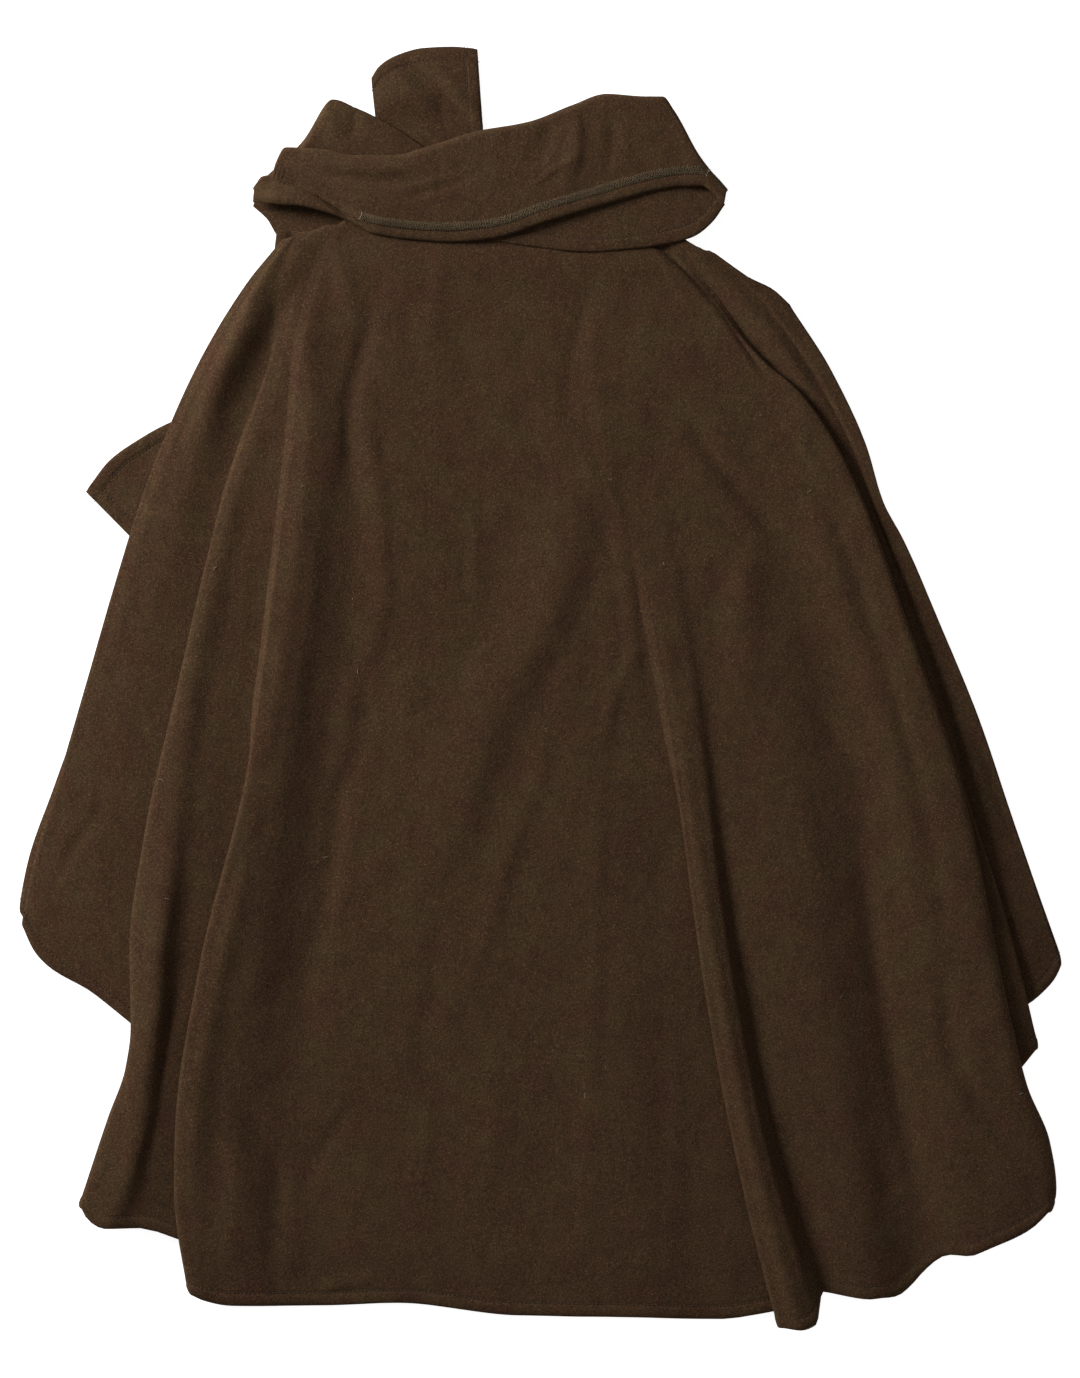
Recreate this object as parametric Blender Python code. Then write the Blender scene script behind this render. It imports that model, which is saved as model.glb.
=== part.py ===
"""Poncho coat of brushed fleece, laid flat on its front with the back side up.

Every piece is one layer of cloth: a sheet worked out from its fold lines, given a wall.
x runs to the right wing, y runs from the hem to the neck, z is up from the floor.
"""
import math

import bmesh
import bpy
import numpy as np

# Cloth and seams, in millimetres
MM = 0.001
CLOTH = 2.0
SEAM_GAP = 0.3
LAYER = CLOTH + SEAM_GAP
FLOOR_LAYER = CLOTH / 2

# Folds: radius of a tuck nobody sees, how far an unfolded tuck is spread at the neck, and the
# radius of its bends there
TUCK_RADIUS = 1.6
TUCK_SPREAD = 3.0
SHALLOW_RADIUS = 3.2
# Height of the roll over the layer below from which a fold doubles fully
FULL_FOLD_HEIGHT = 4 * TUCK_RADIUS
# Length of cloth, for each radian of a bend, that is added to it when a fold's points are shared
# out, so that bends get more of them
BEND_WEIGHT = 5.0

# How finely each piece is divided
BACK_ROWS = 22
FOLD_STEPS = 10
FRONT_ROWS = 16

# Steps from the neck (0) to the hem (1) at which the heights are given
HEIGHT_DOWN = (0.0, 0.12, 0.3, 0.5, 0.7, 1.0)
# Rows run level over the back and bend to the shape of the neck and of the hem near them
MEAN_NECK_Y = 370
MEAN_HEM_Y = -420
NECK_EASE = 7
HEM_EASE = 2.5

# Lines that run down the back, from its left edge to its right edge.
# columns: steps of cloth from the line before. rise: height over the resting cloth.
# path: x, y from the neck to the hem.
BACK_LINES = {
    # name: columns, rise, path
    "left_edge": (0, (0.1, 0.1, 0.1, 0.1, 0.1, 0.1),
                  ((-207, 358), (-234, 325), (-265, 276), (-289, 228), (-316, 161), (-340, 86),
                   (-368, -10), (-389, -82), (-408, -146), (-416, -190))),
    "wing_tip_left": (1, (0.6, 3.5, 2.6, 1.8, 1.4, 0.5),
                      ((-204, 359), (-229, 324), (-257, 276), (-305, 161), (-351, -10),
                       (-388, -146), (-407, -209))),
    "left_wing": (2, (0.8, 7.0, 4.0, 2.6, 2.0, 1.0),
                  ((-200, 360), (-223, 324), (-244, 276), (-284, 161), (-324, -10),
                   (-354, -146), (-356, -244))),
    "lobe_left": (1, (0.7, 1.6, 6.4, 10.6, 13.2, 11.4),
                  ((-184, 365), (-199, 316), (-210, 262), (-247, 141), (-280, -10), (-315, -211),
                   (-317, -271), (-325, -330), (-353, -432))),
    "lobe_valley": (2, (0.6, 2.2, 5.4, 7.4, 8.2, 7.2),
                    ((-178, 367), (-195, 310), (-206, 262), (-226, 158), (-250, 38), (-281, -130),
                     (-307, -298), (-326, -432))),
    "left_crest": (2, (0.6, 3.4, 6.4, 9.5, 12.0, 8.5),
                   ((-151, 377), (-169, 286), (-175, 190), (-188, 70), (-228, -170),
                    (-255, -346), (-247, -494))),
    "left_foot": (2, (0.4, 1.2, 2.0, 1.8, 1.6, 0.9),
                  ((-130, 377), (-138, 190), (-150, 70), (-180, -170), (-186, -340), (-178, -495))),
    "centre_left": (3, (0.4, 1.0, 1.6, 1.3, 1.0, 0.6), ((-98, 372), (-92, 200), (-112, -106), (-114, -493))),
    "centre": (3, (0.4, 0.8, 1.0, 1.1, 1.4, 1.2), ((-49, 371), (-33, 230), (-22, -210), (-17, -503))),
    "centre_right": (3, (0.4, 0.9, 1.4, 1.8, 3.0, 4.4), ((3, 372), (15, 230), (48, -20), (79, -504))),
    "tube_foot_left": (2, (0.4, 0.8, 1.4, 1.2, 0.8, 0.4),
                       ((20, 374), (31, 230), (80, 0), (108, -194), (146, -506))),
    "tube_crest": (2, (0.7, 1.0, 2.4, 6.0, 11.5, 17.5),
                   ((46, 376), (52, 270), (65, 190), (104, 14), (132, -170), (164, -346),
                    (207, -512))),
    "tube_side": (1, (0.6, 0.9, 2.2, 5.4, 9.5, 14.5),
                  ((52, 376), (62, 278), (81, 190), (118, 14), (142, -170), (172, -338),
                   (219, -508))),
    "tube_foot": (1, (0.5, 0.8, 1.4, 1.8, 1.6, 1.2),
                  ((58, 377), (73, 278), (97, 182), (132, -2), (153, -186), (182, -346),
                   (226, -484))),
    "right_panel": (2, (0.4, 1.6, 3.0, 4.6, 7.5, 8.0),
                    ((66, 376), (85, 321), (105, 270), (172, 86), (222, -218), (263, -489))),
    "right_valley": (2, (0.4, 1.4, 2.0, 1.6, 1.2, 0.8),
                     ((76, 375), (101, 321), (127, 270), (207, 70), (255, -111), (282, -322),
                      (304, -472))),
    "right_ridge": (2, (0.6, 2.4, 5.0, 8.5, 11.0, 11.0),
                    ((84, 372), (112, 321), (149, 270), (234, 126), (297, -82), (342, -346),
                     (358, -448))),
    "panel_tip_right": (1, (0.7, 3.6, 8.0, 12.5, 14.0, 12.0),
                        ((88, 371), (122, 321), (163, 270), (207, 206), (249, 126), (310, -58),
                         (350, -242), (368, -340), (388, -434))),
    "right_wing": (2, (0.5, 4.0, 3.4, 2.6, 2.2, 1.2),
                   ((165, 329), (222, 254), (250, 198), (272, 138), (316, 37), (353, -74),
                    (388, -202), (394, -251))),
    "right_edge": (3, (0.1, 0.1, 0.1, 0.1, 0.1, 0.1),
                   ((199, 306), (232, 254), (260, 194), (274, 148), (290, 118), (317, 56),
                    (350, -24), (378, -106), (400, -170), (420, -225))),
}

# Folds in which the back doubles under itself, in the same way.
# faces: the side its rolled edge looks to. starts: the step at which the tuck starts to form.
# tuck: how far it goes under at the hem. tuck_hem_y: where the hidden turn meets the hem.
# low, high: heights of the layer below and of the roll.
BACK_FOLDS = {
    # name: columns, faces, starts, tuck, tuck_hem_y, roll radius, low, high, path
    "wing_fold_left": (3, "left", 0.05, 70, -300, 3.2,
                      (0.2, 0.4, 0.3, 0.2, 0.2, 0.2),
                      (0.7, 1.2, 6.0, 10.5, 13.0, 11.6),
                      ((-189, 364), (-206, 316), (-217, 262), (-236, 204), (-256, 141),
                        (-292, -10), (-316, -118), (-328, -211), (-327, -271), (-331, -303),
                        (-345, -343), (-369, -415))),
    "lobe_fold": (3, "left", 0.48, 38, -460, 2.6,
                 (0.6, 2.2, 4.8, 5.4, 5.4, 2.1),
                 (0.8, 4.5, 9.0, 12.5, 15.0, 11.0),
                 ((-166, 370), (-184, 310), (-194, 262), (-199, 206), (-212, 94), (-234, -68),
                   (-272, -224), (-291, -354), (-292, -402), (-281, -487))),
    "tube_fold": (2, "left", 0.50, 20, -496, 2.8,
                 (0.5, 0.8, 1.2, 1.0, 0.7, 0.4),
                 (0.7, 1.3, 2.4, 4.8, 8.8, 13.0),
                 ((34, 376), (38, 270), (46, 206), (80, 86), (106, -58), (134, -256),
                   (166, -418), (190, -511))),
    "wing_fold_right": (1, "right", 0.12, 72, -334, 2.4,
                       (0.6, 1.0, 1.6, 2.6, 3.8, 4.2),
                       (0.8, 4.5, 10.0, 15.0, 16.5, 13.0),
                       ((95, 370), (134, 321), (173, 278), (205, 237), (244, 177), (290, 56),
                         (340, -100), (375, -270), (387, -318), (403, -362), (408, -420))),
    "inner_fold_right": (2, "right", 0.58, 44, -272, 1.7,
                        (0.3, 0.5, 0.3, 0.2, 0.2, 0.2),
                        (0.6, 1.2, 1.6, 4.4, 7.2, 7.4),
                        ((128, 351), (188, 286), (214, 246), (240, 198), (261, 140), (301, 32),
                          (333, -68), (372, -188), (398, -291))),
}

# The back from its left edge to its right edge
BACK_ACROSS = (
    "left_edge", "wing_tip_left", "left_wing", "wing_fold_left", "lobe_left", "lobe_valley",
    "lobe_fold", "left_crest", "left_foot", "centre_left", "centre", "centre_right",
    "tube_foot_left", "tube_fold", "tube_crest", "tube_side", "tube_foot", "right_panel",
    "right_valley", "right_ridge", "panel_tip_right", "wing_fold_right", "inner_fold_right",
    "right_wing", "right_edge",
)

# Fronts, flat on the floor: neck line and hem from the wing to the centre opening
FRONT_NECK_Y = 348
LEFT_FRONT_NECK = ((-204, 346), (-150, FRONT_NECK_Y), (-48, FRONT_NECK_Y))
LEFT_FRONT_HEM = (
    (-418, -180), (-404, -204), (-370, -229), (-334, -252), (-320, -275), (-328, -350),
    (-322, -416), (-288, -432), (-268, -478), (-193, -484), (-113, -484), (-33, -490), (36, -492),
)
RIGHT_FRONT_NECK = ((-42, FRONT_NECK_Y), (60, FRONT_NECK_Y), (118, 346), (193, 301))
RIGHT_FRONT_HEM = (
    (42, -492), (119, -494), (205, -478), (272, -480), (300, -462), (345, -440), (368, -410),
    (370, -352), (366, -308), (374, -280), (384, -252), (408, -222),
)
# How far their outer edges lie inside the back's: x, y. The left one shows beside the wing.
LEFT_FRONT_INSET = ((5, 358), (6, 160), (3, 0), (-2, -75), (-5, -134), (-5, -166), (-3, -190))
RIGHT_FRONT_INSET = ((-6, 305), (-7, 0), (-8, -221))

# Collar band turned down over the back neck, station by station from its left turn
BAND_STATIONS = (
    # lower edge x, y, upper roll x, y, height of its edge, height of its leg, roll radius, leg share
    (-230, 388, -229, 399, 7.6, 5.8, 2.2, 0.10),
    (-214, 387, -213, 416, 8.0, 5.8, 2.8, 0.25),
    (-195, 386, -202, 431, 8.6, 6.0, 3.4, 0.40),
    (-158, 375, -175, 429, 9.6, 8.0, 4.0, 0.55),
    (-134, 363, -151, 424, 9.6, 8.9, 4.3, 0.66),
    (-102, 358, -119, 424, 9.6, 8.9, 4.4, 0.66),
    (-72, 356, -87, 432, 9.8, 8.9, 4.4, 0.62),
    (-41, 358, -52, 443, 11.6, 8.9, 4.5, 0.50),
    (6, 372, -9, 451, 13.9, 8.9, 4.5, 0.74),
    (36, 381, 25, 464, 14.0, 8.9, 4.5, 0.82),
    (67, 390, 53, 473, 14.0, 8.9, 4.5, 0.82),
    (91, 396, 86, 472, 14.0, 8.9, 4.4, 0.80),
    (110, 400, 102, 464, 14.0, 8.9, 4.2, 0.70),
    (127, 400, 124, 429, 14.0, 8.9, 3.4, 0.40),
    (142, 392, 147, 398, 13.8, 8.9, 2.5, 0.05),
)
BAND_COLUMNS = 32
BAND_FACE_STEPS = 6
BAND_ROLL_STEPS = 5
BAND_LEG_STEPS = 3

# Share of a crowned stretch over which it climbs to its upper edge's height
CROWN_CLIMB = 0.6

# Flat stretches of the collar and its ends, station by station:
# lower edge x, y, upper edge x, y, height at the lower edge, height at the upper edge, crown
UNDER_STATIONS = (
    (-44, 358, -44, 414, 9.0, 11.3, 0.0),
    (-10, 353, -10, 430, 9.0, 11.4, 0.3),
    (39, 348, 39, 448, 9.2, 11.4, 0.4),
    (67, 350, 67, 451, 9.4, 11.4, 0.4),
    (92, 353, 87, 448, 9.8, 11.4, 0.3),
    (121, 360, 102, 433, 10.2, 11.4, 0.3),
    (136, 373, 121, 412, 10.8, 11.4, 0.2),
    (144, 387, 136, 402, 11.2, 11.4, 0.0),
)
FRONT_HALF_STATIONS = (
    (-231, 386, -224, 406, 3.4, 3.4, 0.0),
    (-220, 376, -190, 438, 3.4, 3.6, 0.5),
    (-207, 358, -167, 471, 3.3, 4.4, 1.0),
    (-177, 353, -150, 465, 3.3, 4.6, 1.0),
    (-137, 353, -122, 451, 3.3, 3.8, 0.8),
    (-97, 356, -92, 431, 3.3, 3.3, 0.2),
)
SCARF_TOP_STATIONS = (
    (-124, 370, -136, 489, 1.0, 1.0, 0.6),
    (-117, 370, -130, 498, 1.0, 1.0, 1.0),
    (-104, 370, -116, 507, 1.0, 1.0, 1.6),
    (-86, 370, -94, 513, 1.0, 1.0, 1.8),
    (-63, 370, -71, 514, 1.0, 1.0, 1.2),
    (-41, 370, -51, 512, 1.0, 1.0, 0.4),
)
SCARF_LEFT_STATIONS = (
    (-304, 95, -365, 157, 1.0, 1.0, 0.0),
    (-284, 116, -346, 182, 1.0, 1.0, 0.0),
    (-255, 140, -316, 203, 1.0, 1.0, 0.0),
    (-201, 192, -262, 232, 1.0, 1.0, 0.0),
    (-162, 242, -230, 278, 1.0, 1.0, 0.0),
    (-138, 294, -217, 326, 1.0, 1.0, 0.0),
    (-130, 366, -212, 366, 1.0, 1.0, 0.0),
)
# Cloth over the left scarf end lifts by a layer left of this line and above this height
SCARF_LIFT_X = -50
SCARF_LIFT_X_WIDTH = 75
SCARF_LIFT_Y = 8
SCARF_LIFT_Y_WIDTH = 84

# Where the collar's front half lies under the neck edge of the back
NECK_LIFT_FROM = 312
NECK_LIFT_TO = 344

FLEECE_COLOUR = (0.044, 0.025, 0.014, 1.0)
FLEECE_ROUGHNESS = 0.95


def smooth(amount):
    """Ease from 0 to 1 with level ends."""
    t = np.clip(amount, 0.0, 1.0)
    return t * t * (3 - 2 * t)


def curve_through(stations, values, at):
    """Smooth curve through the values that never swings past them."""
    stations = np.asarray(stations, float)
    values = np.asarray(values, float)
    at = np.asarray(at, float)
    widths = np.diff(stations)
    slopes = np.diff(values) / widths
    tangents = np.empty_like(values)
    tangents[0] = slopes[0]
    tangents[-1] = slopes[-1]
    for k in range(1, len(values) - 1):
        before, after = slopes[k - 1], slopes[k]
        if before * after <= 0:
            tangents[k] = 0.0
        else:
            near = 2 * widths[k] + widths[k - 1]
            far = widths[k] + 2 * widths[k - 1]
            tangents[k] = (near + far) / (near / before + far / after)
    span = np.clip(np.searchsorted(stations, at, side="right") - 1, 0, len(widths) - 1)
    width = widths[span]
    t = (at - stations[span]) / width
    rise = t * t * (3 - 2 * t)
    return (
        values[span] * (1 - rise)
        + values[span + 1] * rise
        + tangents[span] * width * t * (1 - t) ** 2
        - tangents[span + 1] * width * t * t * (1 - t)
    )


def path_x(path, y):
    """x of a path that runs down the coat, at a height up the coat."""
    return curve_through([-point[1] for point in path], [point[0] for point in path], -y)


def place_down(neck_y, hem_y, down):
    """Height up the coat at a step between the neck and the hem of one line."""
    level = MEAN_NECK_Y + (MEAN_HEM_Y - MEAN_NECK_Y) * down
    neck_bend = (neck_y - MEAN_NECK_Y) * (1 - down) ** NECK_EASE
    return level + neck_bend + (hem_y - MEAN_HEM_Y) * down ** HEM_EASE


def over_scarf(x, y):
    """1 where a layer lies on the scarf end that runs under the left wing, 0 away from it."""
    beside = smooth((SCARF_LIFT_X - x) / SCARF_LIFT_X_WIDTH)
    above = smooth((y - SCARF_LIFT_Y) / SCARF_LIFT_Y_WIDTH)
    return beside * above


def back_rest(x, y):
    """Height at which the back rests on the layers below it."""
    neck = smooth((y - NECK_LIFT_FROM) / (NECK_LIFT_TO - NECK_LIFT_FROM))
    return FLOOR_LAYER + LAYER + LAYER * np.maximum(over_scarf(x, y), neck)


def tuck_points(down, row, steps):
    """Points of one fold from the layer below, round the hidden turn and out over the roll."""
    faces, starts, tuck, tuck_hem_y, roll, low_rises, high_rises, path = row
    side = 1.0 if faces == "left" else -1.0
    tuck_y = place_down(path[0][1], tuck_hem_y, down)
    edge_y = place_down(path[0][1], path[-1][1], down)
    edge_x = side * float(path_x(path, edge_y))
    low = float(curve_through(HEIGHT_DOWN, low_rises, down))
    high = float(curve_through(HEIGHT_DOWN, high_rises, down))
    formed = max(0.0, (down - starts) / (1 - starts))
    overlap = -TUCK_SPREAD + (tuck + TUCK_SPREAD) * formed
    doubled = float(smooth((high - low) / FULL_FOLD_HEIGHT))
    turn = SHALLOW_RADIUS + (TUCK_RADIUS - SHALLOW_RADIUS) * doubled
    roll = max(turn, min(roll, (high - low) / 2 - TUCK_RADIUS))
    reach = turn + roll
    climb = high - low - reach
    if climb < reach:
        overlap = min(overlap, reach - math.sqrt(reach * reach - climb * climb))
    turn_centre = np.array((edge_x + overlap - turn, low + turn))
    roll_centre = np.array((edge_x + roll, high - roll))
    between = roll_centre - turn_centre
    apart = max(float(np.hypot(*between)), reach)
    heading = math.atan2(between[1], between[0]) + math.asin(reach / apart)
    straight = math.sqrt(max(apart * apart - reach * reach, 0.0))
    bend = BEND_WEIGHT * abs(heading)
    lengths = (turn * heading + bend, straight, roll * heading + bend)
    total = sum(lengths)
    points = []
    for k in range(steps + 1):
        along = total * k / steps
        if along <= lengths[0]:
            angle = heading * along / lengths[0]
            spot = turn_centre + turn * np.array((math.sin(angle), -math.cos(angle)))
            y = tuck_y
        elif along <= lengths[0] + lengths[1]:
            share = (along - lengths[0]) / lengths[1]
            leave = turn_centre + turn * np.array((math.sin(heading), -math.cos(heading)))
            spot = leave + share * straight * np.array((math.cos(heading), math.sin(heading)))
            y = tuck_y + (edge_y - tuck_y) * float(smooth(share))
        else:
            angle = heading * (total - along) / lengths[2]
            spot = roll_centre + roll * np.array((-math.sin(angle), math.cos(angle)))
            y = edge_y
        points.append((side * spot[0], y, spot[1]))
    if side < 0:
        points.reverse()
    return points


def back_row(down):
    """One row of the back, across all its lines and folds, at a step from the neck."""
    row = []
    run = []
    counts = []

    def lay_run():
        ends = np.cumsum([0] + counts[1:])
        at = np.arange(ends[-1] + 1)
        x = curve_through(ends, [p[0] for p in run], at)
        y = curve_through(ends, [p[1] for p in run], at)
        for k, place in enumerate(at):
            i = min(int(np.searchsorted(ends, place, side="right")) - 1, len(run) - 2)
            share = float(smooth((place - ends[i]) / (ends[i + 1] - ends[i])))
            row.append((x[k], y[k], run[i][2] + (run[i + 1][2] - run[i][2]) * share))

    for name in BACK_ACROSS:
        if name in BACK_LINES:
            columns, rises, path = BACK_LINES[name]
            y = place_down(path[0][1], path[-1][1], down)
            rise = float(curve_through(HEIGHT_DOWN, rises, down))
            run.append((float(path_x(path, y)), y, rise))
            counts.append(columns)
            continue
        columns, *fold_row = BACK_FOLDS[name]
        fold = tuck_points(down, fold_row, FOLD_STEPS)
        run.append(fold[0])
        counts.append(columns)
        lay_run()
        row.extend(fold[1:-1])
        run = [fold[-1]]
        counts = [0]
    lay_run()
    return np.array(row)


def back_sheet():
    """Middle surface of the back, lifted over the layers it rests on."""
    rows = [back_row(k / BACK_ROWS) for k in range(BACK_ROWS + 1)]
    sheet = np.array(rows)
    sheet[:, :, 2] += back_rest(sheet[:, :, 0], sheet[:, :, 1])
    return sheet


def points_along(path, count):
    """Places at even steps along a path, keeping to its straight lengths."""
    path = np.asarray(path, float)
    lengths = np.hypot(*np.diff(path, axis=0).T)
    ends = np.concatenate(([0.0], np.cumsum(lengths)))
    at = np.linspace(0, ends[-1], count)
    return np.stack([np.interp(at, ends, path[:, k]) for k in (0, 1)], axis=1)


def front_sheet(neck, hem, edge_line, inset, edge_first):
    """Middle surface of a front: columns fan out from the neck to every point of the hem."""
    hem_points = []
    for a, b in zip(hem[:-1], hem[1:]):
        hem_points.append(a)
        hem_points.append(((a[0] + b[0]) / 2, (a[1] + b[1]) / 2))
    hem_points.append(hem[-1])
    hem_points = np.array(hem_points, float)
    neck_points = points_along(neck, len(hem_points))
    across = np.linspace(0, 1, len(hem_points))
    nearness = (1 - across if edge_first else across) ** 3
    edge = 0 if edge_first else -1
    back_edge = BACK_LINES[edge_line][2]
    rows = []
    for k in range(FRONT_ROWS + 1):
        down = k / FRONT_ROWS
        y = place_down(neck_points[:, 1], hem_points[:, 1], down)
        share = (y - neck_points[:, 1]) / (hem_points[:, 1] - neck_points[:, 1])
        line = np.column_stack((neck_points[:, 0], y))
        line[:, 0] += (hem_points[:, 0] - neck_points[:, 0]) * share
        edge_y = line[edge, 1]
        if 0 < k < FRONT_ROWS:
            wanted = path_x(back_edge, edge_y) + path_x(inset, edge_y)
            line[:, 0] += (wanted - line[edge, 0]) * nearness
        height = FLOOR_LAYER + LAYER * over_scarf(line[:, 0], line[:, 1])
        rows.append(np.column_stack((line, height)))
    return np.array(rows)


def station_values(stations, count):
    """Every column of a station table at even steps along the stretch."""
    table = np.array(stations, float)
    middle = (table[:, 0:2] + table[:, 2:4]) / 2
    lengths = np.hypot(*np.diff(middle, axis=0).T)
    ends = np.concatenate(([0.0], np.cumsum(lengths)))
    at = np.linspace(0, ends[-1], count)
    return np.stack([curve_through(ends, table[:, k], at) for k in range(table.shape[1])], axis=1)


def band_sheet():
    """Collar band: face from its lower edge up, round the roll and down its leg to the neck."""
    sheet = []
    for low_x, low_y, top_x, top_y, edge_z, leg_z, roll, leg_share in station_values(
            BAND_STATIONS, BAND_COLUMNS):
        low = np.array((low_x, low_y))
        width = math.hypot(top_x - low_x, top_y - low_y)
        up = (np.array((top_x, top_y)) - low) / width
        top_z = leg_z + 2 * roll
        face = width - roll
        column = []
        for k in range(BAND_FACE_STEPS):
            share = k / BAND_FACE_STEPS
            spot = low + up * face * share
            column.append((spot[0], spot[1], edge_z + (top_z - edge_z) * (1 - (1 - share) ** 2)))
        for k in range(BAND_ROLL_STEPS + 1):
            angle = math.pi * (0.5 - k / BAND_ROLL_STEPS)
            spot = low + up * (face + roll * math.cos(angle))
            column.append((spot[0], spot[1], leg_z + roll + roll * math.sin(angle)))
        for k in range(1, BAND_LEG_STEPS + 1):
            spot = low + up * (face - max(leg_share * face, 1.0) * k / BAND_LEG_STEPS)
            column.append((spot[0], spot[1], leg_z))
        sheet.append(column)
    return np.array(sheet)


def stretch_sheet(stations, columns, steps, crown_from=0.0):
    """A flat stretch between two edges, crowned between crown_from and its upper edge."""
    sheet = []
    for low_x, low_y, top_x, top_y, low_z, top_z, crown in station_values(stations, columns):
        column = []
        for k in range(steps + 1):
            share = k / steps
            swell = math.sin(math.pi * max(0.0, (share - crown_from) / (1 - crown_from)))
            rise = float(smooth((share - crown_from) / (CROWN_CLIMB * (1 - crown_from))))
            column.append((
                low_x + (top_x - low_x) * share,
                low_y + (top_y - low_y) * share,
                low_z + (top_z - low_z) * rise + crown * swell,
            ))
        sheet.append(column)
    return np.array(sheet)


def lines_along(sheet, axis):
    """Direction of the cloth at every point along one way of its grid."""
    steps = np.diff(sheet, axis=axis)
    steps /= np.linalg.norm(steps, axis=2)[:, :, None]
    first, last = (steps[:1], steps[-1:]) if axis == 0 else (steps[:, :1], steps[:, -1:])
    return np.concatenate((first, steps), axis=axis) + np.concatenate((steps, last), axis=axis)


def sheet_normals(sheet):
    """Direction square to the cloth at every point of a sheet."""
    normals = np.cross(lines_along(sheet, 0), lines_along(sheet, 1))
    return normals / np.linalg.norm(normals, axis=2)[:, :, None]


def cloth_piece(name, sheet):
    """Closed wall of cloth on both sides of a middle surface, as one named object."""
    normals = sheet_normals(sheet)
    rows, columns = sheet.shape[:2]
    mesh = bmesh.new()
    sides = []
    for offset in (CLOTH / 2, -CLOTH / 2):
        points = (sheet + normals * offset) * MM
        sides.append([[mesh.verts.new(points[r, c]) for c in range(columns)] for r in range(rows)])
    upper, lower = sides
    for r in range(rows - 1):
        for c in range(columns - 1):
            mesh.faces.new((upper[r][c], upper[r + 1][c], upper[r + 1][c + 1], upper[r][c + 1]))
            mesh.faces.new((lower[r][c], lower[r][c + 1], lower[r + 1][c + 1], lower[r + 1][c]))
    rim = [(0, c) for c in range(columns)]
    rim += [(r, columns - 1) for r in range(1, rows)]
    rim += [(rows - 1, c) for c in range(columns - 2, -1, -1)]
    rim += [(r, 0) for r in range(rows - 2, 0, -1)]
    for (r, c), (r2, c2) in zip(rim, rim[1:] + rim[:1]):
        mesh.faces.new((upper[r][c], upper[r2][c2], lower[r2][c2], lower[r][c]))
    bmesh.ops.recalc_face_normals(mesh, faces=mesh.faces)
    if mesh.calc_volume(signed=True) < 0:
        bmesh.ops.reverse_faces(mesh, faces=mesh.faces)
    bmesh.ops.triangulate(mesh, faces=mesh.faces)
    data = bpy.data.meshes.new(name)
    mesh.to_mesh(data)
    mesh.free()
    for polygon in data.polygons:
        polygon.use_smooth = True
    piece = bpy.data.objects.new(name, data)
    bpy.context.scene.collection.objects.link(piece)
    material = bpy.data.materials.new(name + "_fleece")
    material.use_nodes = True
    shader = material.node_tree.nodes["Principled BSDF"]
    shader.inputs["Base Color"].default_value = FLEECE_COLOUR
    shader.inputs["Roughness"].default_value = FLEECE_ROUGHNESS
    shader.inputs["Metallic"].default_value = 0.0
    data.materials.append(material)
    return piece


def main():
    for item in list(bpy.data.objects):
        bpy.data.objects.remove(item, do_unlink=True)
    cloth_piece("back", back_sheet())
    cloth_piece("front_left", front_sheet(
        LEFT_FRONT_NECK, LEFT_FRONT_HEM, "left_edge", LEFT_FRONT_INSET, True))
    cloth_piece("front_right", front_sheet(
        RIGHT_FRONT_NECK, RIGHT_FRONT_HEM, "right_edge", RIGHT_FRONT_INSET, False))
    cloth_piece("collar_over", band_sheet())
    cloth_piece("collar_under", stretch_sheet(UNDER_STATIONS, columns=14, steps=6))
    cloth_piece("collar_front", stretch_sheet(
        FRONT_HALF_STATIONS, columns=12, steps=10, crown_from=0.72))
    cloth_piece("scarf_end_top", stretch_sheet(
        SCARF_TOP_STATIONS, columns=12, steps=8, crown_from=0.62))
    cloth_piece("scarf_end_left", stretch_sheet(SCARF_LEFT_STATIONS, columns=18, steps=4))


main()
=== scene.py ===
"""Poncho coat of brushed fleece, laid flat on its front with the back side up.

Every piece is one layer of cloth: a sheet worked out from its fold lines, given a wall.
Sizes are millimetres until a mesh is made. x runs to the right wing, y to the neck, z is up.
"""
import math

import bmesh
import bpy
import numpy as np
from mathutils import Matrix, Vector, noise

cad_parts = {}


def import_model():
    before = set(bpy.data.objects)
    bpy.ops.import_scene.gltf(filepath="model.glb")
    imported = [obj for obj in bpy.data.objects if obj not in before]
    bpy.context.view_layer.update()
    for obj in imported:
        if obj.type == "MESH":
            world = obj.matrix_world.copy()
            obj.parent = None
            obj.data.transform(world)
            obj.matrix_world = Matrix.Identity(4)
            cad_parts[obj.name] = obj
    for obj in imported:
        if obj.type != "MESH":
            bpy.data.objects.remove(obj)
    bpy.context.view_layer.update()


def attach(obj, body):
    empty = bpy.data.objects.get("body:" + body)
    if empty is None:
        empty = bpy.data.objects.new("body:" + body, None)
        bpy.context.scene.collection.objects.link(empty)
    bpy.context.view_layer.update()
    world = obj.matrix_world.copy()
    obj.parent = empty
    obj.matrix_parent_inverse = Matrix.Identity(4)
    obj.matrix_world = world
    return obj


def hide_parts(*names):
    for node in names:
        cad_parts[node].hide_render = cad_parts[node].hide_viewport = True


# Cloth and its layers
MM = 0.001
CLOTH = 2.0
SEAM_GAP = 0.3
LAYER = CLOTH + SEAM_GAP
FLOOR_LAYER = CLOTH / 2

# Folds: radius of a tuck nobody sees, how far an unfolded tuck is spread at the neck, and the
# radius of its bends there
TUCK_RADIUS = 1.6
TUCK_SPREAD = 3.0
SHALLOW_RADIUS = 3.2
# Height of the roll over the layer below from which a fold doubles fully
FULL_FOLD_HEIGHT = 4 * TUCK_RADIUS
# Length of cloth, for each radian of a bend, that is added to it when a fold's points are shared
# out, so that bends get more of them
BEND_WEIGHT = 5.0

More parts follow.
